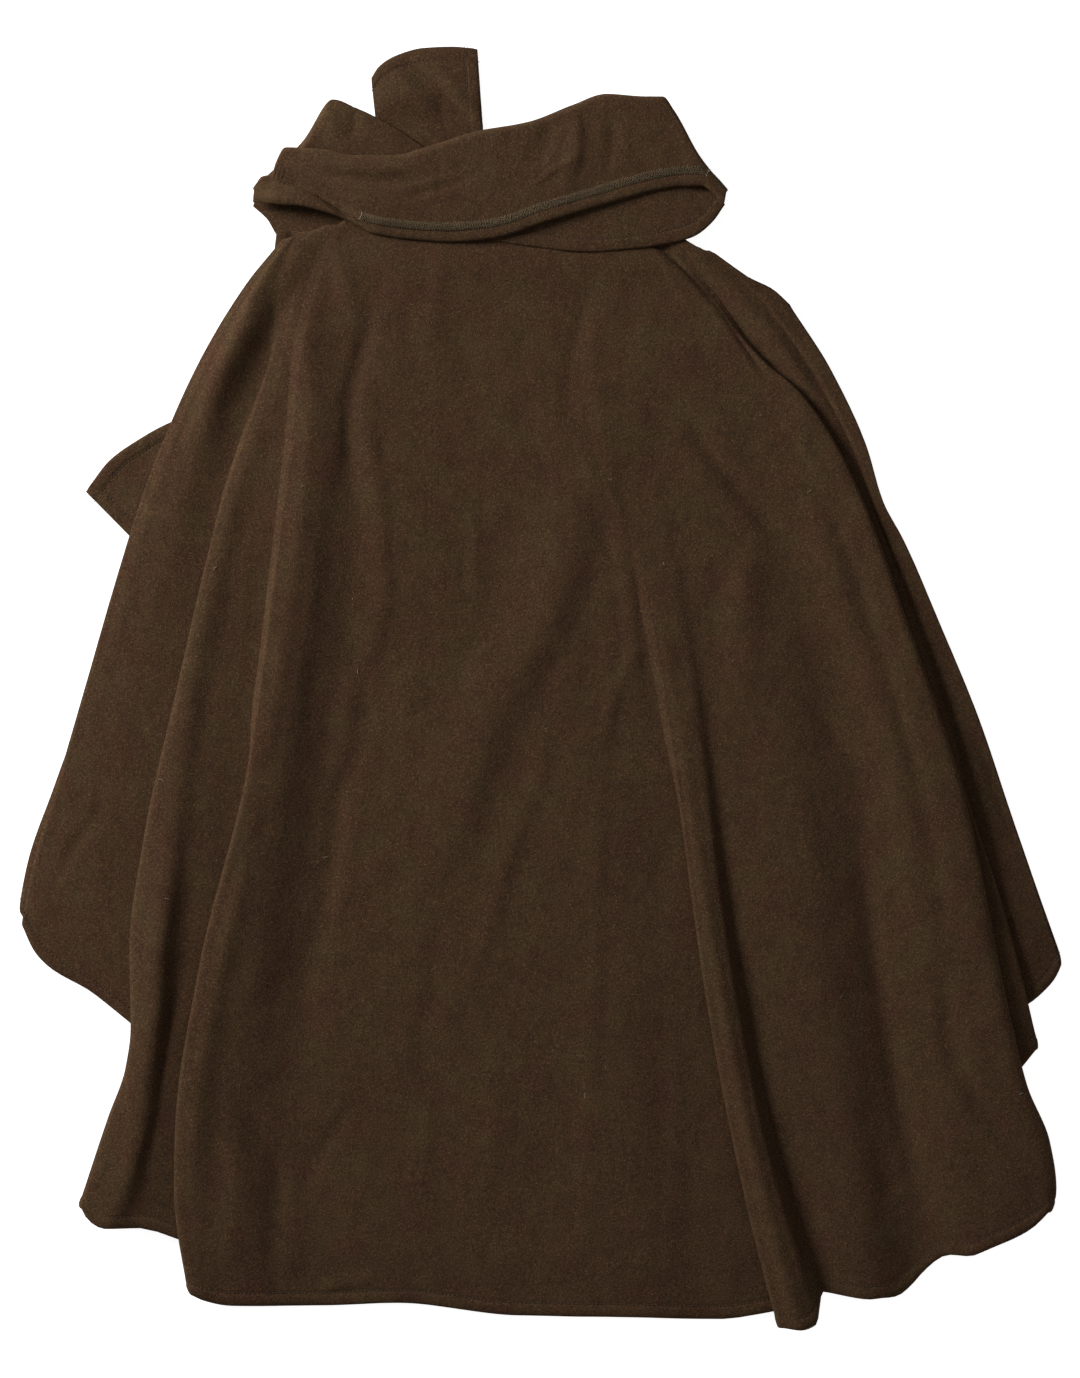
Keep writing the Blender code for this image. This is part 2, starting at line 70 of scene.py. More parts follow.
# How far the back floats over the layer below it, and from how far inside its hem
LOOSE_LIFT = 1.6
LOOSE_REACH = 50
# How far a hollow of the back may press into the nap of the fronts
DEEPEST_HOLLOW = 0.6

# How finely the cloth is laid out
BACK_ROWS = 190
FOLD_STEPS = 12
DENSE_ROWS = 300
# Distances from the back's hem at which close rows give its turned edge its shape
CLOSE_ROWS = (16.0, 13.6, 11.8, 10.6, 9.4, 7.0, 4.0, 1.6, 0.0)

# Heights are given at these steps from the neck (0) to the hem (1)
HEIGHT_DOWN = (0.0, 0.12, 0.3, 0.5, 0.7, 1.0)
# Rows run level over the back and bend to the shape of the neck and of the hem near them
MEAN_NECK_Y = 370
MEAN_HEM_Y = -420
NECK_EASE = 7
HEM_EASE = 2.5

# Lines that run down the back, from its left edge to its right edge.
# columns: steps of cloth from the line before. rise: height over the resting cloth.
# path: x, y from the neck to the hem.
BACK_LINES = {
    # name: columns, rise, path
    "left_edge": (0, (0.1, 0.1, 0.1, 0.1, 0.1, 0.1), (
        (-207, 358), (-234, 325), (-265, 276), (-289, 228), (-316, 161), (-340, 86), (-368, -10),
        (-389, -82), (-408, -146), (-416, -190))),
    "wing_tip_left": (5, (0.6, 3.5, 2.6, 1.8, 1.4, 0.5), (
        (-204, 359), (-229, 324), (-257, 276), (-305, 161), (-351, -10), (-388, -146),
        (-407, -209))),
    "left_wing": (9, (0.8, 7.0, 4.0, 2.6, 2.0, 1.0), (
        (-200, 360), (-223, 324), (-244, 276), (-284, 161), (-324, -10), (-354, -146),
        (-356, -247))),
    "lobe_left": (4, (0.7, 1.6, 6.4, 10.6, 13.2, 11.4), (
        (-184, 365), (-199, 316), (-210, 262), (-247, 141), (-280, -10), (-303, -211), (-305, -271),
        (-312, -330), (-331, -395), (-348, -432))),
    "lobe_valley": (5, (0.6, 2.2, 5.4, 7.8, 9.2, 8.0), (
        (-178, 367), (-195, 310), (-206, 262), (-226, 158), (-250, 38), (-277, -130), (-297, -298),
        (-320, -432))),
    "left_crest": (8, (0.6, 3.4, 6.4, 9.5, 12.0, 8.5), (
        (-151, 377), (-169, 286), (-175, 190), (-188, 70), (-228, -170), (-255, -346),
        (-247, -494))),
    "left_foot": (12, (0.4, 1.2, 2.0, 1.8, 1.6, 0.9), (
        (-130, 377), (-138, 190), (-150, 70), (-180, -170), (-186, -340), (-178, -495))),
    "centre_left": (14, (0.4, 1.0, 1.6, 1.3, 1.0, 0.6), (
        (-98, 372), (-92, 200), (-112, -106), (-114, -493))),
    "centre": (16, (0.4, 0.8, 1.0, 1.1, 1.4, 1.2), (
        (-49, 371), (-33, 230), (-22, -210), (-17, -503))),
    "centre_right": (16, (0.4, 0.9, 1.4, 1.8, 3.0, 4.4), (
        (3, 372), (15, 230), (48, -20), (79, -504))),
    "tube_foot_left": (11, (0.4, 0.8, 1.4, 1.2, 0.8, 0.4), (
        (20, 374), (31, 230), (80, 0), (108, -194), (146, -506))),
    "tube_crest": (5, (0.7, 1.0, 2.4, 6.0, 11.5, 17.5), (
        (46, 376), (52, 270), (65, 190), (104, 14), (132, -170), (164, -346), (207, -512))),
    "tube_side": (4, (0.6, 0.9, 2.2, 5.4, 9.5, 14.5), (
        (52, 376), (62, 278), (81, 190), (118, 14), (142, -170), (172, -338), (219, -508))),
    "tube_foot": (4, (0.5, 0.8, 1.4, 1.8, 1.6, 1.2), (
        (58, 377), (73, 278), (97, 182), (132, -2), (153, -186), (182, -346), (226, -484))),
    "right_panel": (7, (0.4, 1.6, 3.0, 4.6, 7.5, 8.0), (
        (66, 376), (85, 321), (105, 270), (172, 86), (222, -218), (263, -489))),
    "right_valley": (8, (0.4, 1.4, 2.0, 1.6, 1.2, 0.8), (
        (76, 375), (101, 321), (127, 270), (207, 70), (255, -111), (282, -322), (304, -472))),
    "right_ridge": (9, (0.6, 2.4, 5.0, 8.5, 11.0, 11.0), (
        (84, 372), (112, 321), (149, 270), (234, 126), (297, -82), (342, -346), (358, -448))),
    "panel_tip_right": (5, (0.7, 3.6, 8.0, 12.5, 14.0, 12.0), (
        (88, 371), (122, 321), (163, 270), (207, 206), (249, 126), (310, -58), (350, -242),
        (368, -340), (388, -434))),
    "right_wing": (6, (0.5, 2.8, 3.0, 2.8, 2.4, 1.2), (
        (165, 329), (222, 254), (250, 198), (272, 138), (316, 37), (353, -74), (388, -202),
        (394, -251))),
    "right_edge": (8, (0.1, 3.0, 3.4, 2.8, 2.0, 0.6), (
        (199, 306), (232, 254), (260, 194), (274, 148), (290, 118), (317, 56), (350, -24),
        (378, -106), (400, -170), (420, -225))),
}

# Folds in which the back doubles under itself.
# faces: the side its rolled edge looks to. starts: the step at which the tuck starts to form.
# tuck: how far it goes under at the hem. tuck_hem_y: where the hidden turn meets the hem.
# low, high: heights of the layer below and of the roll.
BACK_FOLDS = {
    # name: columns, faces, starts, tuck, tuck_hem_y, roll radius, low, high, path
    "wing_fold_left": (
        6, "left", 0.05, 70, -292, 3.2,
        (0.2, 0.4, 0.3, 0.2, 0.2, 0.2), (0.7, 1.2, 6.0, 10.2, 11.8, 9.8), (
            (-189, 364), (-206, 316), (-217, 262), (-236, 204), (-256, 141), (-292, -10),
            (-316, -118), (-328, -211), (-327, -271), (-331, -303), (-345, -343), (-369, -415))),
    "lobe_fold": (
        4, "left", 0.48, 38, -460, 2.6,
        (0.6, 2.2, 4.8, 5.4, 5.4, 2.1), (0.8, 4.5, 9.0, 12.5, 15.0, 11.0), (
            (-166, 370), (-184, 310), (-194, 262), (-199, 206), (-212, 94), (-234, -68),
            (-272, -224), (-291, -354), (-292, -402), (-281, -487))),
    "tube_fold": (
        4, "left", 0.50, 20, -496, 2.8,
        (0.5, 0.8, 1.2, 1.0, 0.7, 0.4), (0.7, 1.3, 2.4, 4.8, 8.8, 13.0), (
            (34, 376), (38, 270), (46, 206), (80, 86), (106, -58), (134, -256), (166, -418),
            (190, -511))),
    "wing_fold_right": (
        3, "right", 0.12, 72, -356, 2.4,
        (0.6, 1.0, 1.6, 2.6, 3.8, 4.2), (0.8, 6.0, 10.0, 13.5, 14.5, 12.5), (
            (95, 370), (131, 321), (144, 304), (162, 279), (181, 258), (207, 235), (244, 177),
            (290, 56), (340, -100), (375, -270), (387, -318), (405, -362), (410.5, -400),
            (408, -420))),
    "inner_fold_right": (
        3, "right", 0.58, 44, -272, 1.7,
        (0.3, 0.5, 0.3, 0.2, 0.2, 0.2), (0.6, 1.2, 1.6, 4.4, 7.2, 7.4), (
            (128, 351), (188, 286), (214, 246), (240, 198), (261, 140), (301, 32), (333, -68),
            (372, -188), (398, -291))),
}

BACK_ACROSS = (
    "left_edge", "wing_tip_left", "left_wing", "wing_fold_left", "lobe_left", "lobe_valley",
    "lobe_fold", "left_crest", "left_foot", "centre_left", "centre", "centre_right",
    "tube_foot_left", "tube_fold", "tube_crest", "tube_side", "tube_foot", "right_panel",
    "right_valley", "right_ridge", "panel_tip_right", "wing_fold_right", "inner_fold_right",
    "right_wing", "right_edge",
)

# Creases: step along their line and the fewest steps on it, share of the line over which they
# fade in and out, and the share of their height that is left at both ends
CREASE_STEP = 3
FEWEST_CREASE_STEPS = 4
CREASE_FADE = 0.3
CREASE_END = 0.15

# Soft creases of the back: height (a trough is below 0), reach to its right and to its left
# for a crease that runs down, then its line x, y
BACK_CREASES = {
    # shoulders
    "left_shoulder_roll": (
        2.6, 20, 18, (-151, 386), (-172, 369), (-191, 352), (-206, 332), (-220, 309), (-234, 287),
        (-250, 264), (-265, 236), (-276, 206)),
    "left_shoulder_hollow": (
        -1.3, 16, 13, (-207, 304), (-222, 278), (-234, 252), (-246, 226), (-254, 198)),
    "right_shoulder_dip": (
        -4.2, 16, 4, (55, 386), (94, 352), (119, 330), (138, 308), (156, 284), (172, 260),
        (191, 235)),
    "right_shoulder_roll": (
        2.4, 16, 9, (127, 340), (151, 318), (173, 296), (193, 270), (212, 242), (233, 210)),
    "wing_hollow_right": (-2.2, 13, 6, (158, 300), (170, 277), (182, 260), (198, 241)),
    "right_edge_dip": (-1.5, 8, 7, (175, 283), (199, 251), (220, 225), (241, 192)),
    # long ridges beside the left folds
    "wing_fold_crest": (
        0.9, 18, 7, (-201, 274), (-217, 232), (-233, 190), (-247, 144), (-260, 96), (-271, 48),
        (-282, -2), (-294, -58), (-305, -114)),
    "left_ridge": (
        3.3, 27, 17, (-201, 346), (-194, 302), (-186, 262), (-182, 222), (-185, 174), (-190, 126),
        (-196, 78), (-202, 30), (-209, -18), (-216, -66), (-225, -114)),
    "left_ridge_low": (
        2.2, 22, 10, (-222, -82), (-234, -138), (-247, -190), (-259, -242), (-268, -290),
        (-275, -338), (-278, -386), (-270, -450)),
    "lobe_roll": (
        3.4, 12, 22, (-292, -122), (-298, -170), (-305, -211), (-309, -271), (-313, -300),
        (-317, -338), (-324, -377), (-330, -412), (-337, -438)),
    "lobe_trough": (
        -1.6, 8, 12, (-271, -98), (-275, -150), (-281, -194), (-288, -238), (-298, -274),
        (-306, -310), (-314, -346), (-321, -382), (-329, -418)),
    # upper left and middle
    "chest_dip": (-1.9, 12, 10, (-132, 318), (-143, 270), (-153, 230), (-154, 190), (-148, 142)),
    "chest_fold": (
        1.3, 9, 17, (-140, 250), (-136, 206), (-130, 158), (-126, 110), (-124, 76), (-130, 42),
        (-143, 14), (-159, -13)),
    "chest_pinch": (0.9, 6, 9, (-54, 170), (-53, 126), (-51, 86), (-54, 54)),
    "middle_ridge": (
        3.2, 27, 48, (50, 198), (36, 147), (16, 83), (-4, 35), (-28, -5), (-50, -54), (-69, -114),
        (-82, -174)),
    "tube_start": (
        1.3, 7, 14, (12, 201), (39, 174), (57, 153), (66, 118), (73, 70), (76, 22), (80, -26)),
    "tube_wedge": (1.2, 10, 8, (84, 41), (70, 16), (57, -12), (47, -46)),
    "neck_fold_left": (1.0, 14, 12, (-164, 361), (-157, 326), (-142, 289)),
    "neck_fold_middle": (0.9, 16, 14, (-79, 353), (-84, 314), (-94, 270)),
    "neck_dip_right": (-0.9, 14, 12, (44, 353), (38, 310), (26, 270), (20, 198)),
    "cross_dip": (-0.8, 8, 8, (50, 246), (79, 228), (110, 204)),
    # upper right
    "bust_dip": (
        -3.4, 14, 14, (105, 226), (124, 203), (145, 176), (167, 149), (188, 131), (206, 122)),
    "bust_hook": (-2.0, 8, 8, (168, 133), (160, 116), (153, 100), (142, 76), (130, 52)),
    "bust_ridge": (2.8, 30, 8, (160, 124), (157, 96), (157, 54), (156, 10), (153, -22)),
    "side_ridge": (
        2.4, 20, 18, (201, 210), (217, 150), (233, 94), (252, 38), (271, -14), (285, -66),
        (294, -122), (298, -174)),
    "side_dip": (-1.5, 8, 9, (196, 6), (217, -15), (237, -40), (253, -66), (260, -100)),
    "side_pinch": (1.0, 6, 12, (206, -74), (216, -114), (226, -146), (231, -178)),
    "panel_dip": (-1.0, 8, 8, (158, -90), (169, -108), (188, -132), (206, -160)),
    # below
    "waist_dip": (
        -1.9, 14, 14, (-153, 46), (-142, -10), (-146, -50), (-161, -90), (-167, -138), (-175, -186),
        (-188, -242)),
    "waist_hollow": (-1.2, 20, 18, (-135, 6), (-127, -38), (-134, -90)),
    "sharp_crease": (
        1.5, 7, 17, (17, -20), (-1, -76), (-20, -124), (-32, -160), (-41, -194), (-55, -244)),
    "belly_dip": (-1.2, 14, 14, (-78, -178), (-87, -242), (-93, -290), (-81, -338)),
    "pressed_crease": (
        0.8, 6, 15, (57, -2), (50, -58), (47, -130), (46, -210), (42, -298), (39, -394),
        (34, -493)),
    "pressed_crease_right": (0.8, 13, 6, (103, -218), (106, -314), (105, -394), (102, -490)),
    "low_cross": (-0.7, 8, 8, (50, -160), (79, -174), (113, -194)),
    "low_crescent": (
        -1.3, 8, 7, (-138, -327), (-160, -346), (-174, -368), (-184, -388), (-193, -413)),
    "corner_dip": (
        -2.1, 14, 16, (-249, -314), (-226, -352), (-210, -382), (-212, -422), (-214, -458),
        (-207, -495)),
    "corner_ridge": (1.2, 12, 12, (-249, -338), (-242, -386), (-247, -434), (-251, -482)),
    "low_ridge_left": (0.9, 8, 11, (-86, -314), (-94, -370), (-102, -430)),
    "low_ridge_middle": (0.9, 7, 13, (-44, -306), (-38, -370), (-54, -436)),
    "hem_curl": (1.3, 6, 6, (-183, -484), (-157, -477), (-126, -473)),
    "valley_right": (
        -2.5, 10, 15, (262, -74), (258, -122), (262, -170), (270, -226), (278, -274), (287, -322),
        (297, -370), (308, -422), (318, -466)),
    "valley_hollow": (-1.5, 14, 14, (263, -358), (274, -388), (286, -418)),
    "right_low_dip": (
        -3.0, 12, 10, (302, -202), (322, -246), (327, -290), (345, -326), (372, -362), (402, -391)),
    "right_low_ridge": (
        1.9, 16, 14, (327, -122), (347, -194), (364, -258), (378, -314), (398, -359)),
    "right_low_hollow": (-1.0, 14, 14, (346, -359), (358, -402)),
    "wing_left_dip": (-1.1, 8, 8, (-350, -71), (-355, -102), (-371, -124), (-386, -152)),
    "wing_left_hem_dip": (-0.8, 8, 8, (-396, -170), (-380, -190), (-362, -215)),
    "wing_right_dip": (-0.9, 8, 7, (342, -20), (362, -80), (386, -140)),
}

# Corners of the back's hem: x, y, way to the cloth inside it, reach, how far it is rounded
BACK_CORNERS = (
    (-369, -415, 1.0, 0.2, 7, 2.2),
    (-281, -487, 0.7, 0.7, 14, 3.0),
    (420, -225, -0.8, 0.6, 18, 4.0),
    (398, -291, -0.7, 0.7, 12, 2.5),
    (408, -420, -0.8, 0.6, 18, 2.2),
)
# Waves of the back's edge: x, y, way to the cloth inside it, reach, depth (a swell is below 0)
BACK_WAVES = (
    (-362, -422, 0.7, 0.7, 18, -3.4),
    (-385, -222, 0.5, 0.85, 34, -2.6),
    (288, -480, 0.0, 1.0, 22, -5.5),
    (322, -464, 0.0, 1.0, 28, 9.0),
    (184, 317, -0.5, -0.86, 24, -3.2),
    (124, 352, 0.0, -1.0, 9, -1.8),
    (132, 350, 0.0, -1.0, 9, 1.6),
)

# Fronts, flat on the floor: neck line and hem from the wing to the centre opening
FRONT_NECK_Y = 348
FRONT_ROWS = 60
LEFT_FRONT_NECK = ((-204, 346), (-150, FRONT_NECK_Y), (-48, FRONT_NECK_Y))
LEFT_FRONT_HEM = (
    (-418, -180), (-404, -204), (-370, -229), (-334, -252), (-320, -275), (-328, -350),
    (-322, -416), (-288, -432), (-268, -478), (-193, -484), (-113, -484), (-33, -490), (36, -492),
)
RIGHT_FRONT_NECK = ((-42, FRONT_NECK_Y), (60, FRONT_NECK_Y), (118, 346), (193, 301))
RIGHT_FRONT_HEM = (
    (42, -492), (119, -494), (205, -478), (272, -480), (300, -462), (345, -440), (368, -410),
    (370, -352), (366, -308), (374, -280), (384, -252), (408, -222),
)
# How far their outer edges lie inside the back's: x, y. The left one shows beside the wing.
LEFT_FRONT_INSET = ((5, 358), (6, 160), (3, 0), (-2, -75), (-5, -134), (-5, -166), (-3, -190))
RIGHT_FRONT_INSET = ((-6, 305), (-7, 0), (-8, -221))
# Columns of a front for each length of its hem line, and how soon they turn to its outer edge
FRONT_COLUMNS = 4
FRONT_EDGE_EASE = 3

# Collar band turned down over the back neck, station by station from its left turn
BAND_STATIONS = (
    # lower edge x, y, upper roll x, y, height of its edge, height of its leg, roll radius, leg share
    (-230, 388, -229, 399, 8.0, 5.2, 1.6, 0.10),
    (-224, 387, -223, 408, 9.8, 5.4, 2.0, 0.15),
    (-217, 387, -215, 410, 11.4, 5.6, 2.4, 0.20),
    (-209, 386, -211, 420, 12.2, 5.8, 3.0, 0.30),
    (-197, 385, -204, 431, 12.4, 6.0, 3.4, 0.40),
    (-158, 375, -175, 429, 11.0, 8.0, 4.0, 0.55),
    (-134, 363, -151, 424, 9.6, 8.9, 4.3, 0.66),
    (-102, 358, -119, 424, 9.6, 8.9, 4.4, 0.66),
    (-72, 356, -87, 432, 9.8, 8.9, 4.4, 0.62),
    (-41, 358, -52, 443, 11.6, 8.9, 4.5, 0.50),
    (6, 372, -9, 451, 13.9, 8.9, 4.5, 0.74),
    (36, 381, 25, 464, 14.0, 8.9, 4.5, 0.82),
    (67, 390, 53, 473, 14.0, 8.9, 4.5, 0.82),
    (88, 396, 83, 471, 14.0, 8.9, 4.4, 0.80),
    (104, 399, 97, 471, 14.0, 8.9, 4.3, 0.74),
    (112, 400, 105, 461, 14.0, 8.9, 4.1, 0.66),
    (128, 400, 126, 424, 14.4, 8.9, 3.6, 0.40),
    (146, 386, 148, 397, 14.2, 8.9, 2.5, 0.05),
)
# Columns along the band, steps up its face, round its roll and down its leg, and the least
# length of that leg
BAND_COLUMNS = 250
BAND_FACE_STEPS = 62
BAND_ROLL_STEPS = 10
BAND_LEG_STEPS = 6
SHORTEST_LEG = 1.0

# Flat stretches of the collar and its ends, station by station:
# lower edge x, y, upper edge x, y, height at the lower edge, height at the upper edge, crown
UNDER_STATIONS = (
    (-44, 358, -44, 414, 9.0, 11.3, 0.0),
    (-10, 353, -10, 430, 9.0, 11.4, 0.3),
    (39, 348, 39, 448, 9.2, 11.4, 0.4),
    (67, 350, 67, 451, 9.4, 11.4, 0.4),
    (92, 353, 87, 448, 9.8, 11.4, 0.3),
    (121, 360, 102, 433, 10.2, 10.6, 0.3),
    (137, 372, 121, 412, 10.6, 10.0, 0.2),
    (147, 386, 139, 402, 10.4, 9.6, 0.0),
)
FRONT_HALF_STATIONS = (
    (-231, 386, -224, 406, 1.2, 1.4, 0.0),
    (-220, 376, -190, 438, 1.2, 2.4, 3.0),
    (-207, 358, -167, 471, 1.2, 2.8, 5.4),
    (-177, 353, -150, 465, 1.2, 3.4, 5.4),
    (-137, 353, -122, 451, 1.2, 3.6, 4.2),
    (-97, 356, -92, 431, 1.2, 3.6, 2.0),
)
SCARF_TOP_STATIONS = (
    (-124, 370, -136, 489, 1.0, 1.0, 0.6),
    (-117, 370, -130, 498, 1.0, 1.0, 1.0),
    (-104, 370, -116, 507, 1.0, 1.0, 1.6),
    (-86, 370, -94, 513, 1.0, 1.0, 1.8),
    (-63, 370, -71, 514, 1.0, 1.0, 1.2),
    (-41, 370, -51, 512, 1.0, 1.0, 0.4),
)
SCARF_LEFT_STATIONS = (
    (-304, 95, -365, 157, 1.0, 1.0, 0.0),
    (-284, 116, -346, 182, 1.0, 1.0, 0.0),
    (-255, 140, -316, 203, 1.0, 1.0, 0.0),
    (-201, 192, -262, 232, 1.0, 1.0, 0.0),
    (-162, 242, -230, 278, 1.0, 1.0, 0.0),
    (-138, 294, -217, 326, 1.0, 1.0, 0.0),
    (-130, 366, -212, 366, 1.0, 1.0, 0.0),
)
# Places along each of them and steps across it
UNDER_GRID = (120, 80)
FRONT_HALF_GRID = (100, 90)
SCARF_TOP_GRID = (80, 130)
SCARF_LEFT_GRID = (230, 80)
# Share of the way across from which a crowned stretch rises, and share of the rest over which it
# climbs to its upper edge's height
FRONT_HALF_CROWN = 0.52
SCARF_TOP_CROWN = 0.62
CROWN_CLIMB = 0.6
# The upper scarf end comes out from under the front half at about this height up the coat. It
# stands up a little above there and inside its upper edge: by how much, and over what lengths.
FRONT_HALF_TOP = 446
SCARF_TOP_RISE = 3.4
SCARF_TOP_RISE_ABOVE = 32
SCARF_TOP_RISE_INSIDE = 40
# How far the left scarf end stands over the floor on average
SCARF_LEFT_RISE = 0.8

# Creases of the collar, as the back's
BAND_CREASES = {
    "fall_ridge": (1.7, 9, 12, (25, 460), (29, 438), (27, 422), (20, 403)),
    "fall_dip": (-1.3, 10, 16, (9, 454), (4, 433), (-7, 408)),
    "pleat": (0.8, 5, 5, (-4, 401), (12, 414), (33, 424)),
    "right_dip": (-0.8, 10, 9, (52, 462), (57, 438), (52, 409)),
    "left_top_dip": (-1.2, 9, 7, (-193, 422), (-161, 408), (-121, 403), (-81, 409)),
    "left_top_ridge": (1.2, 8, 8, (-199, 430), (-169, 417), (-129, 414), (-89, 420)),
    "lip_crease": (-4.0, 15, 4, (-221, 410), (-200, 403), (-181, 394), (-162, 381), (-140, 369)),
    "lip": (3.4, 11, 6, (-233, 392), (-209, 390), (-186, 382), (-161, 372), (-132, 361)),
    "pull": (-0.9, 7, 6, (-113, 390), (-81, 398), (-49, 409)),
}
SCARF_CREASES = {
    "bend": (-3.4, 9, 20, (-112, 500), (-97, 491), (-82, 480), (-71, 467), (-57, 451), (-47, 438)),
    "bend_ridge": (1.2, 10, 7, (-84, 492), (-68, 478), (-55, 464), (-44, 449)),
}
FRONT_HALF_CREASES = {
    "top_fold": (1.2, 10, 12, (-176, 468), (-166, 452), (-160, 436)),
    "top_dip": (-1.2, 8, 8, (-152, 466), (-149, 454), (-150, 438)),
}

# Gentle swells of cloth that has been stored folded: their size, their height, their seed
SWELLS = {
    "back": (52.0, 1.1, 3.0),
    "back_fine": (17.0, 0.2, 9.0),
    "band": (30.0, 0.5, 5.0),
    "under": (26.0, 0.35, 6.0),
    "scarf_top": (30.0, 0.4, 8.0),
    "scarf_left": (28.0, 0.8, 2.0),
}
# A swell is longer down the coat than across, with a finer one of half its height over it
SWELL_LENGTH = 1.6
FINE_SWELL_HEIGHT = 0.5
FINE_SWELLS_ACROSS = 2.3
FINE_SWELLS_DOWN = 1.9
FINE_SWELL_SEED = 7

# Rows on each side, and rounds, over which the lengths of the weave are evened out
WEAVE_ROWS = 12
WEAVE_ROUNDS = 3

# Cloth over the left scarf end lifts by a layer left of this line and above this height
SCARF_LIFT_X = -50
SCARF_LIFT_X_WIDTH = 75
SCARF_LIFT_Y = 8
SCARF_LIFT_Y_WIDTH = 84
# Where the collar's front half lies under the neck edge of the back
NECK_LIFT_FROM = 312
NECK_LIFT_TO = 344

# A turned hem, from its edge inwards: distance, height over the single cloth
HEM_FACE = ((0.0, -0.5), (1.2, 0.3), (4.0, 0.6), (8.4, 0.55), (9.8, 0.1), (10.6, -0.3),
            (11.6, 0.1), (14.0, 0.0))
# The same hem from its wrong side: the turned edge stands up and its thread covers it
HEM_BACK = ((0.0, -0.3), (1.2, 0.9), (4.0, 1.4), (8.0, 1.1), (10.4, 0.7), (12.2, 0.6),
            (14.4, 0.5), (16.0, 0.0))
# Row of stitches: distance from the edge, height over the middle of the cloth
HEM_STITCH = 10.6
STITCH_HEIGHT = CLOTH / 2 + 0.1
# Threads that cover the turned edge: the same for their middle, and where they start and stop
# as shares of the band's length
COVER_MIDDLE = 12.6
COVER_HEIGHT = CLOTH / 2 + 0.75
COVER_FROM = 0.215
COVER_TO = 0.955

# Patterns of the fleece's nap: size (a metre over how many lie in it), fineness of detail,
# roughness
NAP = {
    # Hands and old folds brush the nap one way or another, about 33 mm at a time
    "clouds": (1000 / 30, 4.0, 0.55),
    # Clumps of nap of about 9 mm, longer along the knit
    "patches": (1000 / 110, 4.0, 0.6),
    # Tufts, drawn 2.2 mm wide, coarser than the real 0.5 mm, so that they show
    "grain": (1000 / 460, 3.0, 0.75),
    # Pale tips of fibres, drawn 1.3 mm wide, coarser than the real 0.1 mm, so that they show
    "tips": (1000 / 760, 3.0, 0.8),
    # Fibres combed along the knit, drawn 0.7 mm wide, coarser than the real 0.02 mm
    "fibre": (1000 / 1500, 2.0, 0.6),
}
# Tones laid over its shade, one after another: pattern, where the pattern starts to show the
# tone and where it shows it fully, how much of the tone covers, tone
NAP_TONES = (
    ("clouds", 0.35, 0.65, 1.0, "light"),
    ("patches", 0.42, 0.72, 0.3, "dark"),
    ("grain", 0.45, 0.68, 0.58, "dark"),
    ("tips", 0.52, 0.7, 0.6, "pale"),
)
FLEECE_TONES = {"shade": "#3d291e", "light": "#3e3020", "dark": "#1e150f", "pale": "#6d5439"}
WRONG_SIDE_TONES = {"shade": "#3e2b1f", "light": "#403121", "dark": "#20170f", "pale": "#6e563b"}
# How far both sides' patterns are drawn out along the knit: less is longer
FLEECE_STREAK = 0.6
WRONG_SIDE_STREAK = 0.4
# Twist of a sewing thread: one turn in 0.7 mm, and how dark the painted shade between its turns is
TWIST = 1000 / 1500
TWIST_SHADE = 0.6

# Straight stitches along a hem
STITCH_SIZES = {"Stitch Length": 2.4 * MM, "Stitch Spacing": 3.2 * MM, "Thread Radius": 0.3 * MM}
# Crossing threads over a raw edge, as a coverstitch has them
COVER_SIZES = {"Cover Width": 6.4 * MM, "Cover Spacing": 2.6 * MM, "Thread Radius": 0.34 * MM,
               "Phase": 0}
# Lint: how much lies on the nap, and its length
LINT_SIZES = {"Fibres Per Square Metre": 110.0, "Fibre Length": 4.0 * MM, "Seed": 4}
# Its bow in radians, and the radius and thickness of that bow as shares of its length
LINT_BOW = 1.9
LINT_BOW_RADIUS = 0.6
LINT_THICKNESS = 0.03
# How far a fibre tilts out of the nap and turns on it, in radians, and its shortest and longest
# as shares of that length
LINT_TILT = 0.35
LINT_TURN = 6.28
LINT_SHORTEST = 0.4
LINT_LONGEST = 1.4

# Photo: size of a pixel at the coat, and height of the picture in pixels
PIXEL = 0.8
PHOTO_HEIGHT = 1378
# Camera: focal length and sensor, shift of the picture's middle, mean height of the coat
LENS = 85.0
SENSOR = 36.0
MIDDLE_X = -0.8
MIDDLE_Y = -1.2
MEAN_HEIGHT = 8.0
# Floor: half its side, and its level, just below the cloth so that the two don't touch
FLOOR_REACH = 6000.0
FLOOR_LEVEL = -0.6
# Disk lamps, in metres: place, width, power in watts, colour. One stands low at the upper left,
# as the folds' shadows show, and a weak one lights the shadows.
LAMPS = {
    "window_left": ((-2.1, 1.25, 1.1), 1.1, 132.0, (1.0, 0.99, 0.97)),
    "fill_right": ((1.8, -0.6, 1.9), 1.8, 5.0, (0.97, 0.98, 1.0)),
}


def linear(hex_colour):
    """Linear red, green, blue of an sRGB hex colour."""
    parts = [int(hex_colour[k:k + 2], 16) / 255 for k in (1, 3, 5)]
    return [p / 12.92 if p <= 0.04045 else ((p + 0.055) / 1.055) ** 2.4 for p in parts] + [1.0]


def smooth(amount):
    """Ease from 0 to 1 with level ends."""
    t = np.clip(amount, 0.0, 1.0)
    return t * t * (3 - 2 * t)


